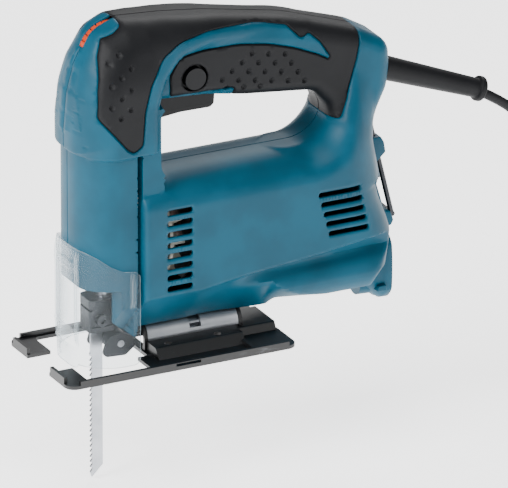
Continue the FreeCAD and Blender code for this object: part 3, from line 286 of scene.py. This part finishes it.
def coilPoints(form):
    # lays full turns side by side, then drops a level; each layer starts where the last one ended
    centre = form["coilCentre"]
    pitch = form["diameter"]
    spots = []
    ringOrder = [(0, (0, -1, 1)), (1, (1, 0, -1)), (2, (-1, 0, 1))]
    rings = [
        (form["turnLevels"][level], form["coilRadius"] + lane * pitch) for level, lanes in ringOrder for lane in lanes
    ]
    angle = math.pi / 2
    steps = form["perTurn"]
    for number, (level, radius) in enumerate(rings):
        upper, outer = rings[number + 1] if number + 1 < len(rings) else (level, radius)
        for step in range(steps if number < 8 else steps // 2):
            share = step / steps
            shift = max(0.0, (share - 0.55) / 0.45)
            reach = radius + (outer - radius) * shift
            height = level + (upper - level) * shift
            spots.append((centre[0] + reach * math.cos(angle), centre[1] + reach * math.sin(angle), height))
            angle -= 2 * math.pi / steps
    return spots


def makeCord(form):
    data = bpy.data.curves.new("mainsCord", "CURVE")
    data.dimensions = "3D"
    data.bevel_depth = form["diameter"] / 2
    data.bevel_resolution = 5
    data.resolution_u = 6
    data.use_fill_caps = True
    points = hangingPoints + coilPoints(form) + tailPoints
    spline = data.splines.new("NURBS")
    spline.points.add(len(points) - 1)
    for point, spot in zip(spline.points, points):
        point.co = (*spot, 1.0)
    spline.use_endpoint_u = True
    spline.order_u = 3
    cord = bpy.data.objects.new("mains_cord", data)
    bpy.context.scene.collection.objects.link(cord)
    data.materials.append(finishes["cord_rubber"])
    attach(cord, "housing")
    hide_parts("cord", "cord_coil")
    return cord


cord = makeCord(cordForm)
print("cord laid")


# shell outlines, in millimetres
def unitOf(v):
    return v / np.hypot(*v)


def besideLine(line):
    # unit directions square to a closed outline
    ahead = np.roll(line, -1, 0) - np.roll(line, 1, 0)
    return np.stack([-ahead[:, 1], ahead[:, 0]], 1) / np.maximum(np.hypot(ahead[:, 0], ahead[:, 1]), 1e-9)[:, None]


def roundedOutline(corners, step=1.5):
    # straight runs joined by tangent arcs, divided into steps
    spots = [np.array(c[:2], float) for c in corners]
    count = len(corners)
    path = []
    for i in range(count):
        here = spots[i]
        before, after = spots[i - 1] - here, spots[(i + 1) % count] - here
        radius = corners[i][2]
        half = math.acos(max(-1.0, min(1.0, float(unitOf(before) @ unitOf(after))))) / 2
        if radius <= 0 or half > math.radians(89.5):
            path.append(here)
            continue
        run = min(radius / math.tan(half), 0.49 * np.hypot(*before), 0.49 * np.hypot(*after))
        radius = run * math.tan(half)
        centre = here + unitOf(unitOf(before) + unitOf(after)) * radius / math.sin(half)
        first, last = here + unitOf(before) * run - centre, here + unitOf(after) * run - centre
        start = math.atan2(first[1], first[0])
        sweep = (math.atan2(last[1], last[0]) - start + math.pi) % (2 * math.pi) - math.pi
        pieces = max(2, int(math.ceil(abs(sweep) * radius / step)), int(math.ceil(abs(sweep) / 0.26)))
        for k in range(pieces + 1):
            a = start + sweep * k / pieces
            path.append(centre + radius * np.array([math.cos(a), math.sin(a)]))
    divided = []
    for i, here in enumerate(path):
        run = path[(i + 1) % len(path)] - here
        pieces = max(1, int(math.ceil(np.hypot(*run) / step)))
        divided += [here + run * k / pieces for k in range(pieces)]
    return np.array(divided)


def gapTo(spots, line):
    # shortest distance from each spot to a closed outline
    starts, run = line, np.roll(line, -1, 0) - line
    size = np.maximum((run ** 2).sum(1), 1e-12)
    nearest = np.empty(len(spots))
    for k in range(0, len(spots), 3000):
        offset = spots[k:k + 3000, None] - starts[None]
        share = np.clip((offset * run).sum(-1) / size, 0, 1)
        gap = offset - share[..., None] * run
        nearest[k:k + 3000] = np.sqrt((gap ** 2).sum(-1).min(1))
    return nearest


def within(spots, line):
    # true for each spot inside a closed outline
    x, z = spots[:, 0:1], spots[:, 1:2]
    ax, az = line[:, 0], line[:, 1]
    bx, bz = np.roll(ax, -1), np.roll(az, -1)
    crosses = ((az > z) != (bz > z)) & (x < (bx - ax) * (z - az) / np.where(bz == az, 1e-12, bz - az) + ax)
    return crosses.sum(1) % 2 == 1


def signedGap(spots, line):
    # the gap to an outline, negative outside it
    return np.where(within(spots, line), 1.0, -1.0) * gapTo(spots, line)


def overEdge(inward, radius):
    # height lost close to a rounded edge; outside the edge it keeps falling
    kept = np.clip(inward, 0, radius)
    fall = np.sqrt(np.maximum(radius ** 2 - (radius - kept) ** 2, 0)) - radius
    return fall + np.minimum(inward, 0) * 6


def blendMax(a, b, k):
    # the larger of two heights, with a fillet about k wide where they cross
    h = np.clip(0.5 + 0.5 * (a - b) / k, 0, 1)
    return b * (1 - h) + a * h + k * h * (1 - h)


def blendMin(a, b, k):
    return -blendMax(-a, -b, k)


def ease(value, low, high):
    # from 0 to 1 between low and high, level at both ends
    t = np.clip((value - low) / (high - low), 0, 1)
    return t * t * (3 - 2 * t)


# the two shell halves: half widths, then outlines of the side view as x, z and corner radius
shellForm = {
    "body": 31.0, "column": 26.0, "hood": 28.5, "handle": 17.5, "groove": 0.9, "pitDepth": 1.25, "dotDepth": 0.9,
    "wall": 2.2, "skin": 1.3, "tubeRoom": 10.9,
}
shellOutline = roundedOutline([
    (-17, 47, 3), (3.5, 47, 1), (3.5, 24, 3), (12, 16.5, 3), (98.5, 16.5, 2), (102, 21, 3), (160, 21, 10),
    (172, 31, 8), (175.6, 43.5, 4), (176.8, 52, 4), (175.2, 57, 10), (168, 82, 30), (163.6, 104.5, 20),
    (164.2, 117, 30), (171.8, 133, 16), (173.4, 146, 30), (172.8, 158.8, 11), (156, 168.6, 30),
    (112.5, 183.2, 90), (64, 192.6, 60), (39, 195.8, 60),
    (10, 198.0, 14), (-3.5, 192.5, 14), (-13, 175, 20), (-17.5, 158, 20), (-19.3, 138, 10), (-19.2, 126.5, 1.5),
    (-17, 125.2, 0.6),
])
gapOutline = roundedOutline([
    (27.3, 107.6, 9.5), (126.5, 107.6, 26), (139.6, 124, 12), (126, 138.4, 9), (84, 143.2, 60),
    (60, 147.5, 20), (27.3, 149.5, 6),
])
gripOutline = roundedOutline([
    (11, 206, 1), (10, 196, 3), (4.6, 192.8, 3), (-2, 190.5, 3), (-5.4, 182, 8), (-8.8, 164, 20),
    (-9.8, 149.4, 6), (6, 130, 4), (10, 127.2, 3), (15.6, 131, 4), (17, 150, 20), (20.5, 164, 20),
    (29, 177.6, 14), (41, 184.4, 20), (58, 186.8, 40), (90, 185, 60), (108.7, 180.4, 3),
    (117, 171.6, 3), (122, 174, 2), (128.5, 167.8, 14), (136.2, 155.6, 1), (127, 160.9, 30),
    (112.7, 167.3, 60), (97, 172.2, 60), (79, 175.2, 60), (56.6, 175.6, 40), (43, 173.6, 8), (36.9, 164, 8),
    (37.6, 150.6, 3), (76, 150.6, 2), (79, 120, 1), (126, 120, 1), (133, 121.2, 3), (139.5, 121.2, 4),
    (144, 132, 20), (150.6, 154, 30), (154, 170.4, 10), (156, 206, 1),
], 1.2)
hoodOutline = roundedOutline([
    (-60, -60, 0), (27.3, -60, 0), (27.3, 150, 8), (32, 164, 12), (42, 174.6, 14), (60, 178.2, 30), (96, 179, 30),
    (125, 172, 10), (140, 230, 0), (-60, 230, 0),
], 4)


def slotLoop(x0, x1, z, height):
    # a level slot with round ends
    half = height / 2
    return roundedOutline([(x0, z - half, half * 0.9), (x1, z - half, half * 0.9), (x1, z + half, half * 0.9),
                           (x0, z + half, half * 0.9)], 1.4)


def circleLoop(x, z, radius, count=28):
    turns = np.arange(count) * 2 * math.pi / count
    return np.stack([x + radius * np.cos(turns), z + radius * np.sin(turns)], 1)


ventLoops = [slotLoop(28.6, 44.2, 89.6 - 6.36 * i, 3.7) for i in range(8)]
ventLoops += [slotLoop(120.7 + 1.55 * i, 147.4 + 1.2 * i, 83.5 - 5.9 * i, 3.3) for i in range(5)]
screwSpots = [(34.5, 183.6), (112, 163), (150, 152), (150, 94), (141, 30.5), (33, 27), (-8, 141)]
panelPits = [(4.1 - 0.6 * i, 183.4 - 11.45 * i) for i in range(4)]
panelPits += [(4.0 - 0.7 * i + s * 5.5, 177.6 - 11.5 * i - s * 1.3) for i in range(3) for s in (-1, 1)]
handlePits = [(86.8 - 6.05 * k + 10.0 * i, 168.4 - 4.05 * k - 1.85 * i) for k in range(4) for i in range(3 + k)]
handlePits += [(71.6 + 10.0 * i, 150.9 - 1.2 * i) for i in range(3)]
frontDots = [(-12.9, 183.6), (-15.1, 157.9), (-14.7, 132.0)]


def ovalCurve(share):
    # quarter of an oval: 0 at the edge, 1 inside
    return np.sqrt(np.maximum(1 - (1 - np.clip(share, 0.001, 1)) ** 2, 0))


def creaseLine(x):
    # the edge below which the side turns in towards the sole and the dust duct
    return np.interp(x, [3, 50, 80, 120, 152, 176], [41.6, 41.8, 46.0, 49.5, 53.5, 56])


def shellHeight(spots):
    # half the housing's width at each place of the side view
    x, z = spots[:, 0], spots[:, 1]
    toOutline, toGap = gapTo(spots, shellOutline), gapTo(spots, gapOutline)
    rearLine = np.interp(z, [21, 31, 43.5, 50, 57, 70, 82, 104.5], [164, 172, 174, 174.5, 172.4, 167.5, 164.6, 162])
    topLine = np.interp(x, [12, 100, 126, 140, 150, 170], [107.9, 107.9, 112, 128, 150, 154])
    shoulder = np.interp(x, [12, 84, 100, 124, 170], [91, 91, 93, 98, 98])
    dome = ovalCurve((topLine - z) / (topLine - shoulder))
    body = shellForm["body"] * np.minimum(dome, ovalCurve(toGap / 18)) + overEdge(rearLine - x, 27)
    body = body + overEdge(x - 15.6, 3.5)
    below = np.maximum(creaseLine(x) - z, 0)
    plain = shellForm["body"] + 0.2 - 0.93 * below
    recess = shellForm["body"] + 0.2 - 7.5 * ease(below, 0, 4.5) - 0.45 * below
    duct = 12.5 + np.sqrt(np.maximum(14.0 ** 2 - (z - 30.5) ** 2, 0)) - np.abs(z - 30.5) * 0.08
    duct = np.minimum(duct, 8 + (z - 16.3) * np.interp(x, [14, 95, 114, 138], [0.93, 0.93, 2.0, 3.5]))
    body = blendMin(body, plain + (blendMax(recess, duct, 3.5) - plain) * ease(x, 56, 98), 1.6)
    column = shellForm["column"] + overEdge(x + 17, 23)
    column = np.minimum(column, shellForm["body"] - 0.93 * np.maximum(41.6 - z, 0))
    column = np.where((x > 13.1) & (x < 15.7), 20.0, column)
    column = np.where((x > 30) | (z > 150), -60, column)
    sideHalf = np.interp(x, [24, 45, 70, 96], [shellForm["hood"], 24.5, 19.8, shellForm["handle"]])
    hood = sideHalf - 7.0 * ease(z, 160, 200) * ease(-x, -60, -20)
    edgeRound = np.interp(x, [-12, 22, 96, 160], [23, 15, 13, 9])
    hood = hood + overEdge(toOutline, edgeRound) + overEdge(signedGap(spots, hoodOutline), 6)
    hood = np.where(z < 124.9, -60, hood + overEdge(z - 124.8, 1.2))
    spine = shellForm["handle"] + overEdge(toOutline, np.minimum(edgeRound, 15)) + overEdge(toGap, 7.6)
    spine = spine - np.where(z < 108.5, 16 * ease(-x, -112, -84), 0)
    upper = blendMax(hood, spine, 5)
    upper = np.where(z < 80, -60, upper)
    lower = np.maximum(body, column)
    joined = blendMax(lower, upper, np.interp(x, [100, 150], [1.0, 14.0]))
    return np.where(x < 30, np.maximum(lower, upper), joined)


def panelRelief(across, z):
    # raised blocks down the front face, their edges rising away from the parting line
    relief = np.zeros(len(z))
    for low, high in ((171, 181.5), (161.5, 169.6), (147.5, 160.4), (136.5, 146.4)):
        lift = 0.2 * across
        relief += 0.6 * ease(z, low + lift, low + lift + 0.5) * (1 - ease(z, high + lift - 0.5, high + lift))
    return relief * ease(across, 0.8, 1.6)


def surfaceDetail(spots):
    # grooves beside the grips, pits in the rubber and small marks near the front corner
    detail = -shellForm["groove"] * (1 - ease(gapTo(spots, gripOutline), 0.15, 1.0))
    for x, z in panelPits + handlePits:
        reach = np.hypot(spots[:, 0] - x, spots[:, 1] - z)
        detail -= shellForm["pitDepth"] * np.clip(1 - (reach / 1.65) ** 2, 0, 1)
    for x, z in frontDots:
        reach = np.hypot(spots[:, 0] - x, spots[:, 1] - z)
        detail -= shellForm["dotDepth"] * np.clip(1 - (reach / 1.3) ** 2, 0, 1)
    front = spots[:, 0] < -16.6
    return detail + np.where(front & (spots[:, 1] > 127), panelRelief(np.full(len(spots), 20.0), spots[:, 1]), 0)


def shellSpots(holes):
    # free points of the side view: rows along the edges, a plain grid, and close rings where there is detail
    rows = []
    for line in (shellOutline, gapOutline):
        normal = besideLine(line)
        probe = line + normal * 0.5
        inside = within(probe, shellOutline) & ~within(probe, gapOutline)
        normal = np.where(inside[:, None], normal, -normal)
        for inward in (0.25, 0.7, 1.3, 2.1, 3.1, 4.3, 7.0, 10.0):
            rows.append(line + normal * inward)
    gridX, gridZ = np.meshgrid(np.arange(-20, 180, 1.9), np.arange(15, 200, 1.9))
    gridX = gridX + 0.95 * ((gridZ / 1.9).astype(int) % 2)
    grid = np.stack([gridX.ravel(), gridZ.ravel()], 1)
    rows.append(grid[(gapTo(grid, shellOutline) > 4.6) & (gapTo(grid, gapOutline) > 4.6)])
    normal = besideLine(gripOutline)
    for lane in (0.5, 1.0):
        rows += [gripOutline + normal * lane, gripOutline - normal * lane]
    x = np.arange(4, 176, 1.3)
    for drop in (-1.2, -0.4, 0.4, 1.2, 2.2, 3.4, 4.6):
        rows.append(np.stack([x, creaseLine(x) - drop], 1))
    z = np.arange(18, 125, 1.5)
    for column in (12.9, 13.2, 15.5, 15.75, 16.1, 16.8, 17.8, 19.0):
        rows.append(np.stack([np.full(len(z), column), z], 1))
    z = np.arange(128, 190, 0.5)
    for column in (-17.9, -17.2, -16.8, -16.4):
        rows.append(np.stack([np.full(len(z), column), z], 1))
    x = np.arange(-18, 27, 1.5)
    for level in (125.15, 125.4, 126.0, 126.6):
        rows.append(np.stack([x, np.full(len(x), level)], 1))
    for x, z in panelPits + handlePits + frontDots:
        rows += [circleLoop(x, z, 1.75, 10), circleLoop(x, z, 1.2, 8), circleLoop(x, z, 0.6, 6), np.array([[x, z]])]
    spots = np.concatenate(rows)
    keep = within(spots, shellOutline) & ~within(spots, gapOutline)
    spots = spots[keep]
    fences = [shellOutline, gapOutline, gripOutline] + holes
    for fence in fences:
        near = gapTo(spots, fence) < 0.2
        spots = spots[~near]
    rounded = np.round(spots / 0.4).astype(int)
    first = np.unique(rounded, axis=0, return_index=True)[1]
    return spots[np.sort(first)]


def triangulate(loops, free):
    # closed outlines and free points, joined into triangles that keep every outline
    coords, edges = [], []
    for loop in loops:
        start = len(coords)
        coords += [Vector(p) for p in loop.tolist()]
        edges += [(start + i, start + (i + 1) % len(loop)) for i in range(len(loop))]
    coords += [Vector(p) for p in free.tolist()]
    made = delaunay_2d_cdt(coords, edges, [], 0, 1e-5)
    return np.array([v[:] for v in made[0]]), np.array([f[:] for f in made[2]])


def buildShell(side):
    # one clamshell half and its soft grip; side is -1 for the left and 1 for the right
    label = "left" if side < 0 else "right"
    holes = list(ventLoops)
    if side < 0:
        holes.append(circleLoop(52, 160, 7.9, 40))
    else:
        holes += [circleLoop(x, z, 3.5, 24) for x, z in screwSpots]
    free = shellSpots(holes)
    flat, faces = triangulate([shellOutline, gapOutline, gripOutline] + holes, free)
    centres = flat[faces].mean(1)
    keep = within(centres, shellOutline) & ~within(centres, gapOutline)
    keep &= (gapTo(centres, shellOutline) > 0.02) & (gapTo(centres, gapOutline) > 0.02)
    for hole in holes:
        keep &= ~within(centres, hole)
    faces, centres = faces[keep], centres[keep]
    height = np.maximum(shellHeight(flat), 1.0) + surfaceDetail(flat)
    soft = within(centres, gripOutline)
    pieces = []
    rigid = ("housing_shell_" + label, ~soft, shellForm["wall"])
    rubber = ("grip_skin_" + label, soft, shellForm["skin"])
    for name, part, thick in (rigid, rubber):
        form = bmesh.new()
        made = {}

        def vertexAt(i):
            if i not in made:
                made[i] = form.verts.new((flat[i, 0], side * height[i], flat[i, 1]))
            return made[i]

        for face in faces[part]:
            try:
                form.faces.new([vertexAt(int(i)) for i in face])
            except ValueError:
                pass
        addWalls(form, made, flat, height, side)
        bmesh.ops.recalc_face_normals(form, faces=form.faces)
        sample = max(form.faces, key=lambda f: f.calc_area())
        if sample.normal.y * side < 0:
            bmesh.ops.reverse_faces(form, faces=form.faces)
        for v in form.verts:
            reach = math.hypot(v.co.y, v.co.z - 7.5)  # keeps clear of the tube that the sole tilts on
            if reach < shellForm["tubeRoom"] and 8 < v.co.x < 99:
                push = shellForm["tubeRoom"] / max(reach, 1e-6)
                v.co.y, v.co.z = v.co.y * push, 7.5 + (v.co.z - 7.5) * push
            v.co *= mm
        data = bpy.data.meshes.new(name)
        form.to_mesh(data)
        form.free()
        data.polygons.foreach_set("use_smooth", [True] * len(data.polygons))
        data.set_sharp_from_angle(angle=math.radians(38))
        piece = addMesh(name, data, "housing_teal" if name.startswith("housing") else "grip_rubber")
        wall = piece.modifiers.new("wall", "SOLIDIFY")
        wall.thickness = thick * mm
        wall.offset = -1
        wall.use_rim = True
        pieces.append(piece)
    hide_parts("housing_" + label)
    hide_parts("grip_" + label)
    print("shell", label, "made,", len(faces), "triangles")
    return pieces


def addWalls(form, made, flat, height, side):
    # from the outline down to the parting plane, with the dial slot, trigger slot and plunger opening left out
    onEdge = {}
    for line in (shellOutline, gapOutline):
        near = gapTo(flat, line) < 1e-4
        for i in np.nonzero(near)[0]:
            onEdge[int(i)] = True
    keyOf = {v: i for i, v in made.items()}
    steps = [0.0, 0.45, 2.2, 4.3, 7.4, 10.0, 12.5, 14.4, 15.0, 16.0, 18.0, 21.0]
    columns = {}

    def columnAt(v, normal):
        i = keyOf[v]
        if i not in columns:
            x, z, top = flat[i, 0], flat[i, 1], height[i]
            spots = []
            for level in [s for s in steps if s < top - 0.4]:
                out = -0.4 if level == 0 else 0.0
                if x < -9 and z > 128:
                    out += float(panelRelief(np.array([level]), np.array([z]))[0])
                spots.append(form.verts.new((x + normal[0] * out, side * level, z + normal[1] * out)))
            columns[i] = (spots, v)
        return columns[i]

    border = [e for e in form.edges if len(e.link_faces) == 1 and all(keyOf[v] in onEdge for v in e.verts)]
    normals = {}
    for edge in border:
        a, b = (np.array((v.co.x, v.co.z)) for v in edge.verts)
        if gapTo(((a + b) / 2)[None], shellOutline)[0] > 0.3 and gapTo(((a + b) / 2)[None], gapOutline)[0] > 0.3:
            continue
        run = b - a
        normal = np.array([-run[1], run[0]]) / max(np.hypot(*run), 1e-9)
        face = edge.link_faces[0].calc_center_median()
        if (np.array((face.x, face.z)) - a) @ normal > 0:
            normal = -normal
        for v in edge.verts:
            normals[v] = normals.get(v, np.zeros(2)) + normal
    walls = [e for e in border if all(v in normals for v in e.verts)]
    for edge in walls:
        first, second = edge.verts
        spotsA, topA = columnAt(first, unitOf(normals[first]))
        spotsB, topB = columnAt(second, unitOf(normals[second]))
        x, z = (first.co.x + second.co.x) / 2, (first.co.z + second.co.z) / 2
        rows = min(len(spotsA), len(spotsB))
        for k in range(rows - 1):
            middle = (steps[k] + steps[k + 1]) / 2
            if middle < 4.3 and -8.6 < x < 11.2 and z > 180:
                continue
            if middle < 7.4 and 29 < x < 72 and 138 < z < 152:
                continue
            if middle < 12.5 and x < 13.5 and z < 50 and (x > -12 or z < 46):
                continue
            form.faces.new((spotsA[k], spotsA[k + 1], spotsB[k + 1], spotsB[k]))
        rest = [topA] + spotsA[rows - 1:][::-1] + spotsB[rows - 1:] + [topB]
        if len(set(rest)) >= 3:
            form.faces.new(rest)


shellPieces = buildShell(-1) + buildShell(1)


# small fittings on the housing: side outline, extent across the tool, and how much the edges are rounded
fittings = {
    "key_clip": {
        "outline": [(160, 84), (169, 84), (175.6, 90), (174.6, 96), (172.6, 99.5), (160, 99.5)],
        "across": (-4, 4), "edge": 0.8,
    },
    "key_lug": {
        "outline": [(168, 45.6), (178.6, 46.2), (180.2, 49.2), (178.4, 54.5), (168, 58)],
        "across": (-5, 5), "edge": 1.0,
    },
}


def makeFitting(name, fitting):
    # the outline drawn out across the tool, with its edges rounded
    outline = fitting["outline"]
    near, far = fitting["across"]
    form = bmesh.new()
    low = [form.verts.new((x * mm, near * mm, z * mm)) for x, z in outline]
    high = [form.verts.new((x * mm, far * mm, z * mm)) for x, z in outline]
    form.faces.new(low)
    form.faces.new(high[::-1])
    for i in range(len(outline)):
        k = (i + 1) % len(outline)
        form.faces.new((low[i], high[i], high[k], low[k]))
    bmesh.ops.recalc_face_normals(form, faces=form.faces)
    bmesh.ops.bevel(
        form, geom=form.edges[:], offset=fitting["edge"] * mm, segments=3, profile=0.5, affect="EDGES",
        clamp_overlap=True,
    )
    data = bpy.data.meshes.new(name)
    form.to_mesh(data)
    form.free()
    data.polygons.foreach_set("use_smooth", [True] * len(data.polygons))
    data.set_sharp_from_angle(angle=math.radians(50))
    addMesh(name, data, "housing_teal")


for name, fitting in fittings.items():
    makeFitting(name, fitting)


# dust port: the duct narrows into an oval mouth with a lip
portForm = {"around": 56, "sections": [  # x, lowest z, highest z, half width
    (138, 21.5, 43, 15), (148, 20.5, 43.5, 16), (156, 17, 43.8, 14.5), (163, 10.5, 44.0, 12.6), (168, 5.8, 44.2, 11.4),
    (170.5, 4.6, 44.5, 11.0), (171.3, 3.9, 44.7, 11.5), (175.4, 3.7, 44.7, 11.6), (176.3, 4.4, 44.0, 10.9),
    (176.2, 6.2, 42.2, 9.1), (175.5, 6.7, 41.7, 8.6), (158, 7.6, 40.8, 7.6),
]}


def ovalRing(low, high, half, count):
    # an upright oval with round ends
    straight = max((high - low) / 2 - half, 0)
    middle = (high + low) / 2
    spots = []
    for i in range(count):
        a = 2 * math.pi * i / count
        y, z = math.cos(a), math.sin(a)
        up = min((high - low) / 2, half) * z + math.copysign(straight, z) * min(1, abs(z) * 3)
        spots.append((half * y, middle + up))
    return spots


def makePort(form):
    count = form["around"]
    shape = bmesh.new()
    rings = []
    for x, low, high, half in form["sections"]:
        rings.append([shape.verts.new((x * mm, y * mm, z * mm)) for y, z in ovalRing(low, high, half, count)])
    for a, b in zip(rings, rings[1:]):
        for i in range(count):
            k = (i + 1) % count
            shape.faces.new((a[i], a[k], b[k], b[i]))
    shape.faces.new(rings[-1])
    shape.faces.new(rings[0][::-1])
    bmesh.ops.recalc_face_normals(shape, faces=shape.faces)
    data = bpy.data.meshes.new("dust_port")
    shape.to_mesh(data)
    shape.free()
    data.polygons.foreach_set("use_smooth", [True] * len(data.polygons))
    data.set_sharp_from_angle(angle=math.radians(55))
    addMesh("dust_port", data, "housing_teal")


portCatch = {
    "outline": [(165.5, 12.0), (171.5, 11.6), (171.5, 15.2), (166.5, 15.2)], "across": (-13.4, -9), "edge": 0.5,
}
makePort(portForm)
makeFitting("port_catch", portCatch)
print("port, clip and lug made")


# clear chip cover: one bent wall round the front of the column, with pressed ridges
coverForm = {
    "front": -19.3, "half": 27.7, "round": 24.0, "rear": 13.7, "low": 3.0, "ridges": (11.4, 13.2, 45.0, 46.8),
    "bands": (12.6, 22.6, 58.5, 61.5),
}


def coverPlace(form, s):
    # place and outward direction at the distance s along the wall, from the middle of the front
    flat = form["half"] - form["round"]
    centre = (form["front"] + form["round"], math.copysign(flat, s))
    run = abs(s) - flat
    turn = min(max(run / form["round"], 0), math.pi / 2)
    x = centre[0] - form["round"] * math.cos(turn) + max(run - form["round"] * math.pi / 2, 0)
    y = centre[1] + math.copysign(form["round"] * math.sin(turn), s) if run > 0 else s
    return x, y, -math.cos(turn), math.copysign(math.sin(turn), s)


def makeCover(form):
    reach = form["half"] - form["round"] + form["round"] * math.pi / 2 + form["rear"] - form["front"] - form["round"]
    spots = np.linspace(-reach, reach, 321)
    rows = 60
    shape = bmesh.new()
    grid = []
    for s in spots:
        x, y, alongX, alongY = coverPlace(form, s)
        inset = form["rear"] - x
        corner = 4 - math.sqrt(max(16 - max(4 - inset, 0) ** 2, 0))
        top = float(np.interp(x, [-19.3, -15, -10, -3, 4, 14], [70.6, 69.2, 66.6, 61.6, 58.4, 57.2])) - corner * 0.8
        low = form["low"] + corner - 2.2 * float(ease(-abs(s), -13.5, -11.5))
        ridge = sum(math.exp(-((abs(s) - spot) / 0.55) ** 2) for spot in form["ridges"])
        line = []
        for k in range(rows + 1):
            z = low + (top - low) * k / rows
            faded = min(max((z - (34.5 if abs(s) > 40 else 12)) / 5, 0), max((top - z) / 5, 0), 1)
            band = sum(math.exp(-((z - level) / 0.7) ** 2) for level in form["bands"]) * float(ease(-abs(s), -15, -12))
            out = 1.0 * ridge * faded + 0.8 * band
            line.append(shape.verts.new(((x + alongX * out) * mm, (y + alongY * out) * mm, z * mm)))
        grid.append(line)
    for a, b in zip(grid, grid[1:]):
        for k in range(rows):
            shape.faces.new((a[k], a[k + 1], b[k + 1], b[k]))
    data = bpy.data.meshes.new("clear_chip_cover")
    shape.to_mesh(data)
    shape.free()
    data.polygons.foreach_set("use_smooth", [True] * len(data.polygons))
    cover = addMesh("clear_chip_cover", data, "clear_cover", "chip_cover")
    wall = cover.modifiers.new("wall", "SOLIDIFY")
    wall.thickness = 0.0014
    wall.offset = -1
    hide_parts("chip_cover")


makeCover(coverForm)
print("cover made")


# floor and light
floorData = bpy.data.meshes.new("floor")
floorData.from_pydata([(-6, -6, -0.0726), (6, -6, -0.0726), (6, 6, -0.0726), (-6, 6, -0.0726)], [], [(0, 1, 2, 3)])
floorPiece = bpy.data.objects.new("floor", floorData)
bpy.context.scene.collection.objects.link(floorPiece)
f = Finish("paleFloor")
floorData.materials.append(f.done({
    "Base Color": f.mix(f.noise(3) * 0.2, (0.95, 0.95, 0.95, 1), (0.90, 0.90, 0.90, 1)), "Roughness": 0.7,
    "Emission Color": (1, 1, 1, 1), "Emission Strength": 2.0, "Specular IOR Level": 0.1,
}))

studioLamps = {
    "frontSoftbox": {"azimuth": -78, "elevation": 30, "distance": 1.4, "size": 0.6, "power": 24},
    "overheadPanel": {"azimuth": -20, "elevation": 70, "distance": 1.5, "size": 0.7, "power": 11},
    "rearRim": {"azimuth": 140, "elevation": 40, "distance": 1.6, "size": 0.7, "power": 12},
    "rightFill": {"azimuth": 40, "elevation": 20, "distance": 1.8, "size": 0.8, "power": 6},
}
for name, light in studioLamps.items():
    lamp = bpy.data.lights.new(name, "AREA")
    lamp.size, lamp.energy = light["size"], light["power"]
    lampObject = bpy.data.objects.new(name, lamp)
    way = directionOf(light["azimuth"], light["elevation"])
    lampObject.location = Vector((0.08, 0, 0.06)) + way * light["distance"]
    lampObject.rotation_mode = "QUATERNION"
    lampObject.rotation_quaternion = (-way).to_track_quat("-Z", "Y")
    bpy.context.scene.collection.objects.link(lampObject)
world = bpy.data.worlds.new("studio")
world.use_nodes = True
world.node_tree.nodes["Background"].inputs[0].default_value = (0.95, 0.97, 1.0, 1)
world.node_tree.nodes["Background"].inputs[1].default_value = 0.25
bpy.context.scene.world = world
print("stage set")
